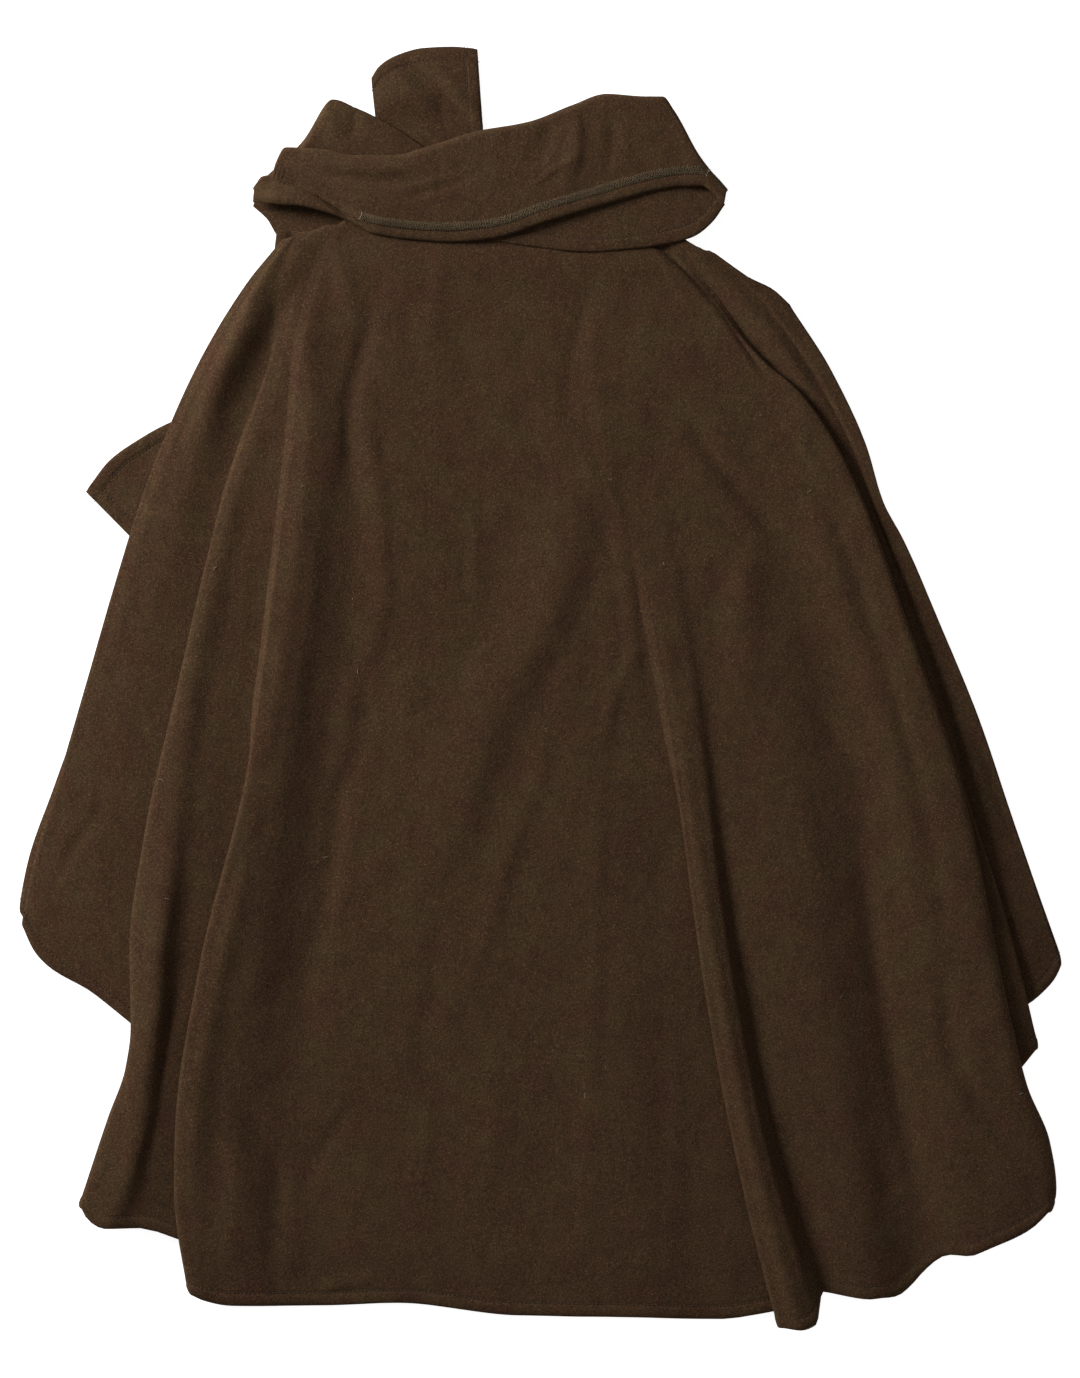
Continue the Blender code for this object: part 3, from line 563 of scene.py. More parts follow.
def curve_through(stations, values, at):
    """Smooth curve through the values that never swings past them."""
    stations = np.asarray(stations, float)
    values = np.asarray(values, float)
    at = np.asarray(at, float)
    widths = np.diff(stations)
    slopes = np.diff(values) / widths
    tangents = np.empty_like(values)
    tangents[0] = slopes[0]
    tangents[-1] = slopes[-1]
    for k in range(1, len(values) - 1):
        before, after = slopes[k - 1], slopes[k]
        if before * after <= 0:
            tangents[k] = 0.0
        else:
            near = 2 * widths[k] + widths[k - 1]
            far = widths[k] + 2 * widths[k - 1]
            tangents[k] = (near + far) / (near / before + far / after)
    span = np.clip(np.searchsorted(stations, at, side="right") - 1, 0, len(widths) - 1)
    width = widths[span]
    t = (at - stations[span]) / width
    rise = t * t * (3 - 2 * t)
    return (
        values[span] * (1 - rise)
        + values[span + 1] * rise
        + tangents[span] * width * t * (1 - t) ** 2
        - tangents[span + 1] * width * t * t * (1 - t)
    )


def lengths_to(points):
    """Length along a line of points, from its start to each of them."""
    return np.concatenate(([0.0], np.cumsum(np.hypot(*np.diff(points, axis=0).T))))


def sums_down(lengths):
    """Running sum down each column of a grid, from 0."""
    return np.concatenate((np.zeros((1, lengths.shape[1])), np.cumsum(lengths, axis=0)))


def steps_down(sheet):
    """Length of every step of cloth down each column of a sheet."""
    return np.linalg.norm(np.diff(sheet, axis=0), axis=2)


def path_x(path, y):
    """x of a path that runs down the coat, at a height up the coat."""
    return curve_through([-point[1] for point in path], [point[0] for point in path], -y)


def place_down(neck_y, hem_y, down):
    """Height up the coat at a step between the neck and the hem of one line."""
    level = MEAN_NECK_Y + (MEAN_HEM_Y - MEAN_NECK_Y) * down
    neck_bend = (neck_y - MEAN_NECK_Y) * (1 - down) ** NECK_EASE
    return level + neck_bend + (hem_y - MEAN_HEM_Y) * down ** HEM_EASE


def over_scarf(x, y):
    """1 where a layer lies on the scarf end that runs under the left wing, 0 away from it."""
    beside = smooth((SCARF_LIFT_X - x) / SCARF_LIFT_X_WIDTH)
    above = smooth((y - SCARF_LIFT_Y) / SCARF_LIFT_Y_WIDTH)
    return beside * above


def back_rest(x, y):
    """Height at which the back rests on the layers below it."""
    neck = smooth((y - NECK_LIFT_FROM) / (NECK_LIFT_TO - NECK_LIFT_FROM))
    return FLOOR_LAYER + LAYER + LAYER * np.maximum(over_scarf(x, y), neck)


def tuck_points(down, row, steps):
    """Points of one fold from the layer below, round the hidden turn and out over the roll."""
    faces, starts, tuck, tuck_hem_y, roll, low_rises, high_rises, path = row
    side = 1.0 if faces == "left" else -1.0
    tuck_y = place_down(path[0][1], tuck_hem_y, down)
    edge_y = place_down(path[0][1], path[-1][1], down)
    edge_x = side * float(path_x(path, edge_y))
    low = float(curve_through(HEIGHT_DOWN, low_rises, down))
    high = float(curve_through(HEIGHT_DOWN, high_rises, down))
    formed = max(0.0, (down - starts) / (1 - starts))
    overlap = -TUCK_SPREAD + (tuck + TUCK_SPREAD) * formed
    doubled = float(smooth((high - low) / FULL_FOLD_HEIGHT))
    turn = SHALLOW_RADIUS + (TUCK_RADIUS - SHALLOW_RADIUS) * doubled
    roll = max(turn, min(roll, (high - low) / 2 - TUCK_RADIUS))
    reach = turn + roll
    climb = high - low - reach
    if climb < reach:
        overlap = min(overlap, reach - math.sqrt(reach * reach - climb * climb))
    turn_centre = np.array((edge_x + overlap - turn, low + turn))
    roll_centre = np.array((edge_x + roll, high - roll))
    between = roll_centre - turn_centre
    apart = max(float(np.hypot(*between)), reach)
    heading = math.atan2(between[1], between[0]) + math.asin(reach / apart)
    straight = math.sqrt(max(apart * apart - reach * reach, 0.0))
    bend = BEND_WEIGHT * abs(heading)
    lengths = (turn * heading + bend, straight, roll * heading + bend)
    total = sum(lengths)
    leave = turn_centre + turn * np.array((math.sin(heading), -math.cos(heading)))
    points = []
    for k in range(steps + 1):
        along = total * k / steps
        if along <= lengths[0]:
            angle = heading * along / lengths[0]
            spot = turn_centre + turn * np.array((math.sin(angle), -math.cos(angle)))
            y = tuck_y
        elif along <= lengths[0] + lengths[1]:
            share = (along - lengths[0]) / lengths[1]
            spot = leave + share * straight * np.array((math.cos(heading), math.sin(heading)))
            y = tuck_y + (edge_y - tuck_y) * float(smooth(share))
        else:
            angle = heading * (total - along) / lengths[2]
            spot = roll_centre + roll * np.array((-math.sin(angle), math.cos(angle)))
            y = edge_y
        points.append((side * spot[0], y, spot[1]))
    if side < 0:
        points.reverse()
    return points


def back_row(down):
    """One row of the back, across all its lines and folds, at a step from the neck."""
    row = []
    run = []
    counts = []

    def lay_run():
        """Adds the points of the cloth between two folds to the row."""
        ends = np.cumsum([0] + counts[1:])
        at = np.arange(ends[-1] + 1)
        x = curve_through(ends, [p[0] for p in run], at)
        y = curve_through(ends, [p[1] for p in run], at)
        for k, place in enumerate(at):
            i = min(int(np.searchsorted(ends, place, side="right")) - 1, len(run) - 2)
            share = float(smooth((place - ends[i]) / (ends[i + 1] - ends[i])))
            row.append((x[k], y[k], run[i][2] + (run[i + 1][2] - run[i][2]) * share))

    for name in BACK_ACROSS:
        if name in BACK_LINES:
            columns, rises, path = BACK_LINES[name]
            y = place_down(path[0][1], path[-1][1], down)
            rise = float(curve_through(HEIGHT_DOWN, rises, down))
            run.append((float(path_x(path, y)), y, rise))
            counts.append(columns)
            continue
        columns, *fold_row = BACK_FOLDS[name]
        fold = tuck_points(down, fold_row, FOLD_STEPS)
        run.append(fold[0])
        counts.append(columns)
        lay_run()
        row.extend(fold[1:-1])
        run = [fold[-1]]
        counts = [0]
    lay_run()
    return np.array(row)


def even_down(sheet, count, close):
    """The sheet again, with even rows down each column and close ones beside its hem."""
    ends = sums_down(steps_down(sheet))
    close = np.array(close, float)
    laid = np.empty((count + len(close), sheet.shape[1], 3))
    for c in range(sheet.shape[1]):
        total = ends[-1, c]
        near_hem = np.minimum(close, total * close / (2 * close[0]))
        even = np.linspace(0, total - near_hem[0], count + 1)[:-1]
        at = np.concatenate((even, total - near_hem))
        for k in range(3):
            laid[:, c, k] = np.interp(at, ends[:, c], sheet[:, c, k])
    return laid


def turned(sheet, hem):
    """The sheet's grid turned so that the given side is its last row."""
    if hem == "first row":
        return sheet[::-1]
    if hem == "last column":
        return sheet.swapaxes(0, 1)
    if hem == "first column":
        return sheet[:, ::-1].swapaxes(0, 1)
    return sheet


def turned_back(sheet, hem):
    """A grid that was turned for the given side, as it was before."""
    if hem == "first column":
        return sheet.swapaxes(0, 1)[:, ::-1]
    return turned(sheet, hem)


def side_distance(sheet, hem):
    """Distance along the cloth from the given side, for every point."""
    ends = sums_down(steps_down(turned(sheet, hem))[::-1])[::-1]
    return turned_back(ends[:, :, None], hem)[:, :, 0]


def crease_line(points):
    """Close places on a smooth line through the points, their directions and shares along it."""
    points = np.array(points, float)
    ends = lengths_to(points)
    at = np.linspace(0, ends[-1], max(int(ends[-1] / CREASE_STEP), FEWEST_CREASE_STEPS))
    line = np.column_stack([curve_through(ends, points[:, k], at) for k in (0, 1)])
    way = np.gradient(line, axis=0)
    return line, way / np.linalg.norm(way, axis=1)[:, None], at / ends[-1]


def crease_height(sheet, creases):
    """Height that the soft creases give every point of a sheet, seen from above."""
    x, y = sheet[:, :, 0], sheet[:, :, 1]
    total = np.zeros_like(x)
    for height, right, left, *points in creases.values():
        line, way, share = crease_line(points)
        reach = max(right, left)
        low, high = line.min(axis=0) - reach, line.max(axis=0) + reach
        near = (x > low[0]) & (x < high[0]) & (y > low[1]) & (y < high[1])
        off_x = x[near][:, None] - line[None, :, 0]
        off_y = y[near][:, None] - line[None, :, 1]
        nearest = np.argmin(off_x ** 2 + off_y ** 2, axis=1)
        pick = np.arange(len(nearest))
        off_x, off_y = off_x[pick, nearest], off_y[pick, nearest]
        aside = off_y * way[nearest, 0] - off_x * way[nearest, 1]
        distance = np.hypot(off_x, off_y)
        width = np.where(aside > 0, right, left)
        ends = smooth(share[nearest] / CREASE_FADE) * smooth((1 - share[nearest]) / CREASE_FADE)
        depth = height * (CREASE_END + (1 - CREASE_END) * ends)
        total[near] += depth * smooth(1 - distance / width)
    return total


def swells(sheet, name):
    """Gentle hollows and swells that lie at random over cloth that has been stored folded."""
    size, height, seed = SWELLS[name]
    total = np.zeros(sheet.shape[:2])
    for r in range(sheet.shape[0]):
        for c in range(sheet.shape[1]):
            x, y = sheet[r, c, 0], sheet[r, c, 1]
            broad = (x / size, y / (SWELL_LENGTH * size), seed)
            fine = (x * FINE_SWELLS_ACROSS / size, y * FINE_SWELLS_DOWN / size,
                    seed + FINE_SWELL_SEED)
            total[r, c] = noise.noise(Vector(broad))
            total[r, c] += FINE_SWELL_HEIGHT * noise.noise(Vector(fine))
    return total * height


def draw_in(sheet, places, shape):
    """Draws the points near each place on an edge inwards: squared rounds a corner off."""
    for x, y, in_x, in_y, reach, depth in places:
        near = np.hypot(sheet[:, :, 0] - x, sheet[:, :, 1] - y)
        pull = depth * shape(np.clip(1 - near / reach, 0.0, 1.0))
        sheet[:, :, 0] += in_x * pull
        sheet[:, :, 1] += in_y * pull


def lines_along(sheet, axis):
    """Direction of the cloth at every point along one way of its grid."""
    steps = np.diff(sheet, axis=axis)
    steps /= np.linalg.norm(steps, axis=2)[:, :, None]
    first, last = (steps[:1], steps[-1:]) if axis == 0 else (steps[:, :1], steps[:, -1:])
    return np.concatenate((first, steps), axis=axis) + np.concatenate((steps, last), axis=axis)


def sheet_normals(sheet):
    """Direction square to the cloth at every point of a sheet, out of its upper side."""
    normals = np.cross(lines_along(sheet, 0), lines_along(sheet, 1))
    normals /= np.linalg.norm(normals, axis=2)[:, :, None]
    return normals if normals[:, :, 2].sum() > 0 else -normals


def points_along(path, count):
    """Places at even steps along a path, keeping to its straight lengths."""
    path = np.asarray(path, float)
    ends = lengths_to(path)
    at = np.linspace(0, ends[-1], count)
    return np.stack([np.interp(at, ends, path[:, k]) for k in (0, 1)], axis=1)


def front_sheet(neck, hem, edge_line, inset, edge_first):
    """Middle surface of a front: columns fan out from the neck to every point of the hem.

    Its outer edge, the first column or the last, keeps its inset from a line of the back.
    """
    hem_points = []
    for a, b in zip(hem[:-1], hem[1:]):
        for k in range(FRONT_COLUMNS):
            share = k / FRONT_COLUMNS
            hem_points.append((a[0] + (b[0] - a[0]) * share, a[1] + (b[1] - a[1]) * share))
    hem_points.append(hem[-1])
    hem_points = np.array(hem_points, float)
    neck_points = points_along(neck, len(hem_points))
    across = np.linspace(0, 1, len(hem_points))
    nearness = (1 - across if edge_first else across) ** FRONT_EDGE_EASE
    edge = 0 if edge_first else -1
    back_edge = BACK_LINES[edge_line][2]
    rows = []
    for k in range(FRONT_ROWS + 1):
        y = place_down(neck_points[:, 1], hem_points[:, 1], k / FRONT_ROWS)
        share = (y - neck_points[:, 1]) / (hem_points[:, 1] - neck_points[:, 1])
        line = np.column_stack((neck_points[:, 0], y))
        line[:, 0] += (hem_points[:, 0] - neck_points[:, 0]) * share
        edge_y = line[edge, 1]
        if 0 < k < FRONT_ROWS:
            wanted = path_x(back_edge, edge_y) + path_x(inset, edge_y)
            line[:, 0] += (wanted - line[edge, 0]) * nearness
        height = FLOOR_LAYER + LAYER * over_scarf(line[:, 0], line[:, 1])
        rows.append(np.column_stack((line, height)))
    return np.array(rows)


def station_values(stations, count):
    """Every column of a station table at even steps along the stretch."""
    table = np.array(stations, float)
    ends = lengths_to((table[:, 0:2] + table[:, 2:4]) / 2)
    at = np.linspace(0, ends[-1], count)
    return np.stack([curve_through(ends, table[:, k], at) for k in range(table.shape[1])], axis=1)


def turned_down_sheet():
    """Collar band: face from its lower edge up, round the roll and down its leg to the neck."""
    sheet = []
    for low_x, low_y, top_x, top_y, edge_z, leg_z, roll, leg_share in station_values(
            BAND_STATIONS, BAND_COLUMNS):
        low = np.array((low_x, low_y))
        width = math.hypot(top_x - low_x, top_y - low_y)
        up = (np.array((top_x, top_y)) - low) / width
        top_z = leg_z + 2 * roll
        face = width - roll
        column = []
        for k in range(BAND_FACE_STEPS):
            share = k / BAND_FACE_STEPS
            spot = low + up * face * share
            column.append((spot[0], spot[1], edge_z + (top_z - edge_z) * (1 - (1 - share) ** 2)))
        for k in range(BAND_ROLL_STEPS + 1):
            angle = math.pi * (0.5 - k / BAND_ROLL_STEPS)
            spot = low + up * (face + roll * math.cos(angle))
            column.append((spot[0], spot[1], leg_z + roll + roll * math.sin(angle)))
        for k in range(1, BAND_LEG_STEPS + 1):
            spot = low + up * (face - max(leg_share * face, SHORTEST_LEG) * k / BAND_LEG_STEPS)
            column.append((spot[0], spot[1], leg_z))
        sheet.append(column)
    return np.array(sheet)


def stretch_sheet(stations, grid, crown_from=0.0):
    """A flat stretch between two edges, crowned between crown_from and its upper edge."""
    places, steps = grid
    sheet = []
    for low_x, low_y, top_x, top_y, low_z, top_z, crown in station_values(stations, places):
        column = []
        for k in range(steps + 1):
            share = k / steps
            swell = math.sin(math.pi * max(0.0, (share - crown_from) / (1 - crown_from)))
            rise = float(smooth((share - crown_from) / (CROWN_CLIMB * (1 - crown_from))))
            column.append((
                low_x + (top_x - low_x) * share,
                low_y + (top_y - low_y) * share,
                low_z + (top_z - low_z) * rise + crown * swell,
            ))
        sheet.append(column)
    return np.array(sheet)


def back_sheet():
    """Middle surface of the back, on the layers below it, with its creases and its edge."""
    sheet = np.array([back_row(k / DENSE_ROWS) for k in range(DENSE_ROWS + 1)])
    sheet[:, :, 2] += back_rest(sheet[:, :, 0], sheet[:, :, 1])
    sheet = even_down(sheet, BACK_ROWS, CLOSE_ROWS)
    relief = crease_height(sheet, BACK_CREASES)
    relief += swells(sheet, "back") + swells(sheet, "back_fine")
    relief += LOOSE_LIFT * smooth(side_distance(sheet, "last row") / LOOSE_REACH)
    lowest = FLOOR_LAYER + LAYER - DEEPEST_HOLLOW
    sheet[:, :, 2] = np.maximum(sheet[:, :, 2] + relief, lowest)
    draw_in(sheet, BACK_CORNERS, np.square)
    draw_in(sheet, BACK_WAVES, smooth)
    return sheet


def collar_over_sheet():
    """Middle surface of the wide band that is turned down over the back neck."""
    sheet = turned_down_sheet()
    sheet[:, :, 2] += crease_height(sheet, BAND_CREASES) + swells(sheet, "band")
    return sheet


def collar_under_sheet():
    """Middle surface of the stretch that shows below the band at the right."""
    sheet = stretch_sheet(UNDER_STATIONS, UNDER_GRID)
    sheet[:, :, 2] += swells(sheet, "under")
    return sheet


def collar_front_sheet():
    """Middle surface of the collar's front half, behind the band."""
    sheet = stretch_sheet(FRONT_HALF_STATIONS, FRONT_HALF_GRID, FRONT_HALF_CROWN)
    sheet[:, :, 2] += crease_height(sheet, FRONT_HALF_CREASES)
    sheet[:, :, 2] = np.maximum(sheet[:, :, 2], FLOOR_LAYER)
    return sheet


def scarf_top_sheet():
    """Middle surface of the scarf end that points up from under the collar's front half."""
    sheet = stretch_sheet(SCARF_TOP_STATIONS, SCARF_TOP_GRID, SCARF_TOP_CROWN)
    inside = side_distance(sheet, "last column") / SCARF_TOP_RISE_INSIDE
    above = (sheet[:, :, 1] - FRONT_HALF_TOP) / SCARF_TOP_RISE_ABOVE
    raised = SCARF_TOP_RISE * smooth(inside) * smooth(above)
    raised += crease_height(sheet, SCARF_CREASES) + swells(sheet, "scarf_top")
    sheet[:, :, 2] += np.maximum(raised, 0.0)
    return sheet


def scarf_left_sheet():
    """Middle surface of the scarf end that points left from under the left wing."""
    sheet = stretch_sheet(SCARF_LEFT_STATIONS, SCARF_LEFT_GRID)
    sheet[:, :, 2] += np.maximum(SCARF_LEFT_RISE + swells(sheet, "scarf_left"), 0.0)
    return sheet


def eased(lengths):
    """Lengths evened out between neighbouring rows, so that the weave is not sheared."""
    reach = min(WEAVE_ROWS, lengths.shape[0] // 2)
    for _ in range(WEAVE_ROUNDS):
        sums = sums_down(np.concatenate((lengths[:1].repeat(reach, 0), lengths,
                                         lengths[-1:].repeat(reach, 0))))
        lengths = (sums[2 * reach + 1:] - sums[:-2 * reach - 1]) / (2 * reach + 1)
    return lengths


def from_middle(lengths):
    """Length of cloth down each column of a grid of steps, 0 at its middle row."""
    sums = sums_down(eased(lengths.T).T)
    middle = sums.shape[0] // 2
    return sums - sums[middle:middle + 1]


def grid_faces(place):
    """Corners of every face between the numbered points of a grid."""
    return np.column_stack((place[:-1, :-1].ravel(), place[1:, :-1].ravel(),
                            place[1:, 1:].ravel(), place[:-1, 1:].ravel()))


def placed(name, data):
    """A new object of a mesh, a lamp or a camera, in the scene."""
    item = bpy.data.objects.new(name, data)
    bpy.context.scene.collection.objects.link(item)
    return item


def cloth_piece(name, sheet, material, hems, hem_profile):
    """Closed wall of cloth on both sides of a middle surface, with its hems turned.

    The piece keeps its own lengths across and down as a UV map, in metres.
    """
    normals = sheet_normals(sheet)
    swell = np.zeros(sheet.shape[:2])
    for hem in hems:
        distance = side_distance(sheet, hem)
        lift = np.interp(distance, [p[0] for p in hem_profile], [p[1] for p in hem_profile])
        swell = np.where(np.abs(lift) > np.abs(swell), lift, swell)
    rows, columns = sheet.shape[:2]
    upper = sheet + normals * (CLOTH / 2 + swell)[:, :, None]
    lower = sheet - normals * CLOTH / 2
    points = np.concatenate((upper.reshape(-1, 3), lower.reshape(-1, 3))) * MM
    place = np.arange(rows * columns).reshape(rows, columns)
    under = rows * columns
    quads = grid_faces(place)
    faces = np.concatenate((quads, quads[:, (0, 3, 2, 1)] + under)).tolist()
    rim = np.concatenate((place[0], place[1:, -1], place[-1, -2::-1], place[-2:0:-1, 0])).tolist()
    for here, there in zip(rim, rim[1:] + rim[:1]):
        faces.append((here, there, there + under, here + under))
    data = bpy.data.meshes.new(name)
    data.from_pydata(points.tolist(), [], faces)
    down = from_middle(steps_down(sheet))
    across = from_middle(steps_down(sheet.swapaxes(0, 1))).T
    flat = np.concatenate([np.column_stack((across.ravel(), down.ravel()))] * 2) * MM
    corners = np.empty(len(data.loops), int)
    data.loops.foreach_get("vertex_index", corners)
    layer = data.uv_layers.new(name="cloth")
    layer.data.foreach_set("uv", flat[corners].astype(np.float32).ravel())
    mesh = bmesh.new()
    mesh.from_mesh(data)
    bmesh.ops.recalc_face_normals(mesh, faces=mesh.faces)
    if mesh.calc_volume(signed=True) < 0:
        bmesh.ops.reverse_faces(mesh, faces=mesh.faces)
    mesh.to_mesh(data)
    mesh.free()
    data.polygons.foreach_set("use_smooth", [True] * len(data.polygons))
    data.materials.append(material)
    return placed(name, data)


def add_node(tree, kind, settings=None, **inputs):
    """Adds a node, gives it its settings, and sets or links each input by its name."""
    node = tree.nodes.new(kind)
    for key, value in (settings or {}).items():
        setattr(node, key, value)
    for key, value in inputs.items():
        socket = node.inputs[int(key[1:])] if key[0] == "_" else node.inputs[key.replace("_", " ")]
        if isinstance(value, bpy.types.NodeSocket):
            tree.links.new(value, socket)
        else:
            socket.default_value = value
    return node


def new_material(name):
    """A new material, its tree of nodes and the shader of its surface."""
    material = bpy.data.materials.new(name)
    material.use_nodes = True
    return material, material.node_tree, material.node_tree.nodes["Principled BSDF"]


def brushed_fleece(name, tones, streak):
    """Polyester fleece, knitted and then brushed to a short nap.

    The eye sees cloudy light and dark patches where the nap lies differently, a fine grain of
    tufts with paler tips, faint streaks along the knit, and a soft sheen at grazing angles.
    """
    material, tree, shader = new_material(name)
    cloth = add_node(tree, "ShaderNodeUVMap", {"uv_map": "cloth"}).outputs["UV"]
    place = add_node(tree, "ShaderNodeTexCoord").outputs["Object"]
    along = add_node(tree, "ShaderNodeMapping", Vector=place, Scale=(1.0, streak, 1.0)).outputs[0]
    follows = {"clouds": cloth, "patches": along, "grain": place, "tips": place, "fibre": along}
    nap = {}
    for pattern, (size, detail, roughness) in NAP.items():
        nap[pattern] = add_node(tree, "ShaderNodeTexNoise", Vector=follows[pattern],
                                Scale=1 / (size * MM), Detail=detail,
                                Roughness=roughness).outputs["Fac"]
    tone = linear(tones["shade"])
    for pattern, starts, full, covers, over in NAP_TONES:
        share = add_node(tree, "ShaderNodeMapRange", Value=nap[pattern], From_Min=starts,
                         From_Max=full, To_Max=covers)
        tone = add_node(tree, "ShaderNodeMix", {"data_type": "RGBA"}, Factor=share.outputs[0],
                        _6=tone, _7=linear(tones[over])).outputs[2]
    tufts = add_node(tree, "ShaderNodeMath", {"operation": "ADD"}, _0=nap["grain"],
                     _1=nap["fibre"])
    fine = add_node(tree, "ShaderNodeBump", Strength=0.55, Distance=0.6 * MM,
                    Height=tufts.outputs[0])
    soft = add_node(tree, "ShaderNodeBump", Strength=0.35, Distance=1.2 * MM,
                    Height=nap["patches"], Normal=fine.outputs[0])
    tree.links.new(tone, shader.inputs["Base Color"])
    tree.links.new(soft.outputs[0], shader.inputs["Normal"])
    shader.inputs["Roughness"].default_value = 0.95
    shader.inputs["Specular IOR Level"].default_value = 0.05
    shader.inputs["Sheen Weight"].default_value = 0.16
    shader.inputs["Sheen Roughness"].default_value = 0.45
    shader.inputs["Sheen Tint"].default_value = linear("#8a6d44")
    return material


def plain_thread(name, colour):
    """Spun polyester of sewing thread and lint.

    It is a little smoother than the cloth, with shade painted between the turns of its twist.
    """
    material, tree, shader = new_material(name)
    place = add_node(tree, "ShaderNodeTexCoord").outputs["Object"]
    twist = add_node(tree, "ShaderNodeTexNoise", Vector=place, Scale=1 / (TWIST * MM),
                     Detail=2.0)
    # Painted shade: a noise darkens the thread's colour as if between the turns of its twist
    lit = linear(colour)
    shaded = [TWIST_SHADE * part for part in lit[:3]] + [1.0]
    tone = add_node(tree, "ShaderNodeMix", {"data_type": "RGBA"}, Factor=twist.outputs["Fac"],
                    _6=shaded, _7=lit)
    tree.links.new(tone.outputs[2], shader.inputs["Base Color"])
    shader.inputs["Roughness"].default_value = 0.6
    shader.inputs["Specular IOR Level"].default_value = 0.3
    return material


def side_points(sheet, hem, distance, height):
    """Places over the cloth at a distance from one side, in order along that side."""
    grid = turned(sheet + sheet_normals(sheet) * height, hem)
    away = turned(side_distance(sheet, hem)[:, :, None], hem)[:, :, 0]
    places = []
    for c in range(grid.shape[1]):
        order = np.argsort(away[:, c])
        places.append([np.interp(distance, away[order, c], grid[order, c, k]) for k in range(3)])
    return np.array(places)


def thread_tree(name, sizes, make, thread, round_shaded=True):
    """A tree of geometry nodes with inputs for its sizes, and the labels of those inputs.

    make fills it in from what it is given; what it makes becomes real mesh of that thread.
    """
    tree = bpy.data.node_groups.new(name, "GeometryNodeTree")
    tree.interface.new_socket("Geometry", in_out="INPUT", socket_type="NodeSocketGeometry")
    tree.interface.new_socket("Geometry", in_out="OUTPUT", socket_type="NodeSocketGeometry")
    labels = {}
    for label, value in sizes.items():
        kind = "NodeSocketInt" if isinstance(value, int) else "NodeSocketFloat"
        socket = tree.interface.new_socket(label, in_out="INPUT", socket_type=kind)
        socket.default_value = value
        labels[label] = socket.identifier
    made = make(tree, tree.nodes.new("NodeGroupInput").outputs)
    made = add_node(tree, "GeometryNodeRealizeInstances", Geometry=made).outputs[0]
    if round_shaded:
        made = add_node(tree, "GeometryNodeSetShadeSmooth", Geometry=made).outputs[0]
    made = add_node(tree, "GeometryNodeSetMaterial", Geometry=made, Material=thread).outputs[0]
    tree.links.new(made, tree.nodes.new("NodeGroupOutput").inputs[0])
    return tree, labels


def straight_stitches(thread):
    """Row of straight stitches: small rounded threads laid end to end along a line."""
    def make(tree, given):
        line = add_node(tree, "GeometryNodeMeshToCurve", Mesh=given["Geometry"])
        places = add_node(tree, "GeometryNodeResampleCurve", {"mode": "LENGTH"},
                          Curve=line.outputs[0], Length=given["Stitch Spacing"])
        stitch = add_node(tree, "GeometryNodeMeshUVSphere", Segments=6, Rings=4, Radius=1.0)
        way = add_node(tree, "GeometryNodeInputTangent")
        turn = add_node(tree, "FunctionNodeAlignRotationToVector", {"axis": "X"},
                        Vector=way.outputs[0])
        half = add_node(tree, "ShaderNodeMath", {"operation": "MULTIPLY"},
                        _0=given["Stitch Length"], _1=0.5)
        shape = add_node(tree, "ShaderNodeCombineXYZ", X=half.outputs[0],
                         Y=given["Thread Radius"], Z=given["Thread Radius"])
        return add_node(tree, "GeometryNodeInstanceOnPoints", Points=places.outputs[0],
                        Instance=stitch.outputs[0], Rotation=turn.outputs[0],
                        Scale=shape.outputs[0]).outputs[0]
    return thread_tree("straight_stitches", STITCH_SIZES, make, thread)


def looper_threads(thread):
    """Threads that cross from side to side under a hem and cover its raw edge."""
    def make(tree, given):
        line = add_node(tree, "GeometryNodeMeshToCurve", Mesh=given["Geometry"])
        half = add_node(tree, "ShaderNodeMath", {"operation": "MULTIPLY"},
                        _0=given["Cover Spacing"], _1=0.5)
        places = add_node(tree, "GeometryNodeResampleCurve", {"mode": "LENGTH"},
                          Curve=line.outputs[0], Length=half.outputs[0])
        count = add_node(tree, "GeometryNodeInputIndex")
        shifted = add_node(tree, "ShaderNodeMath", {"operation": "ADD"}, _0=count.outputs[0],
                           _1=given["Phase"])
        odd = add_node(tree, "ShaderNodeMath", {"operation": "MODULO"}, _0=shifted.outputs[0],
                       _1=2.0)
        side = add_node(tree, "ShaderNodeMath", {"operation": "SUBTRACT"}, _0=odd.outputs[0],
                        _1=0.5)
        reach = add_node(tree, "ShaderNodeMath", {"operation": "MULTIPLY"}, _0=side.outputs[0],
                         _1=given["Cover Width"])
        way = add_node(tree, "GeometryNodeInputTangent")
        across = add_node(tree, "ShaderNodeVectorMath", {"operation": "CROSS_PRODUCT"},
                          _0=way.outputs[0], _1=(0.0, 0.0, 1.0))
        offset = add_node(tree, "ShaderNodeVectorMath", {"operation": "SCALE"},
                          _0=across.outputs[0], Scale=reach.outputs[0])
        zigzag = add_node(tree, "GeometryNodeSetPosition", Geometry=places.outputs[0],
                          Offset=offset.outputs[0])
        round_thread = add_node(tree, "GeometryNodeCurvePrimitiveCircle", Resolution=5,
                                Radius=given["Thread Radius"])
        return add_node(tree, "GeometryNodeCurveToMesh", Curve=zigzag.outputs[0],
                        Profile_Curve=round_thread.outputs[0]).outputs[0]
    return thread_tree("looper_threads", COVER_SIZES, make, thread)


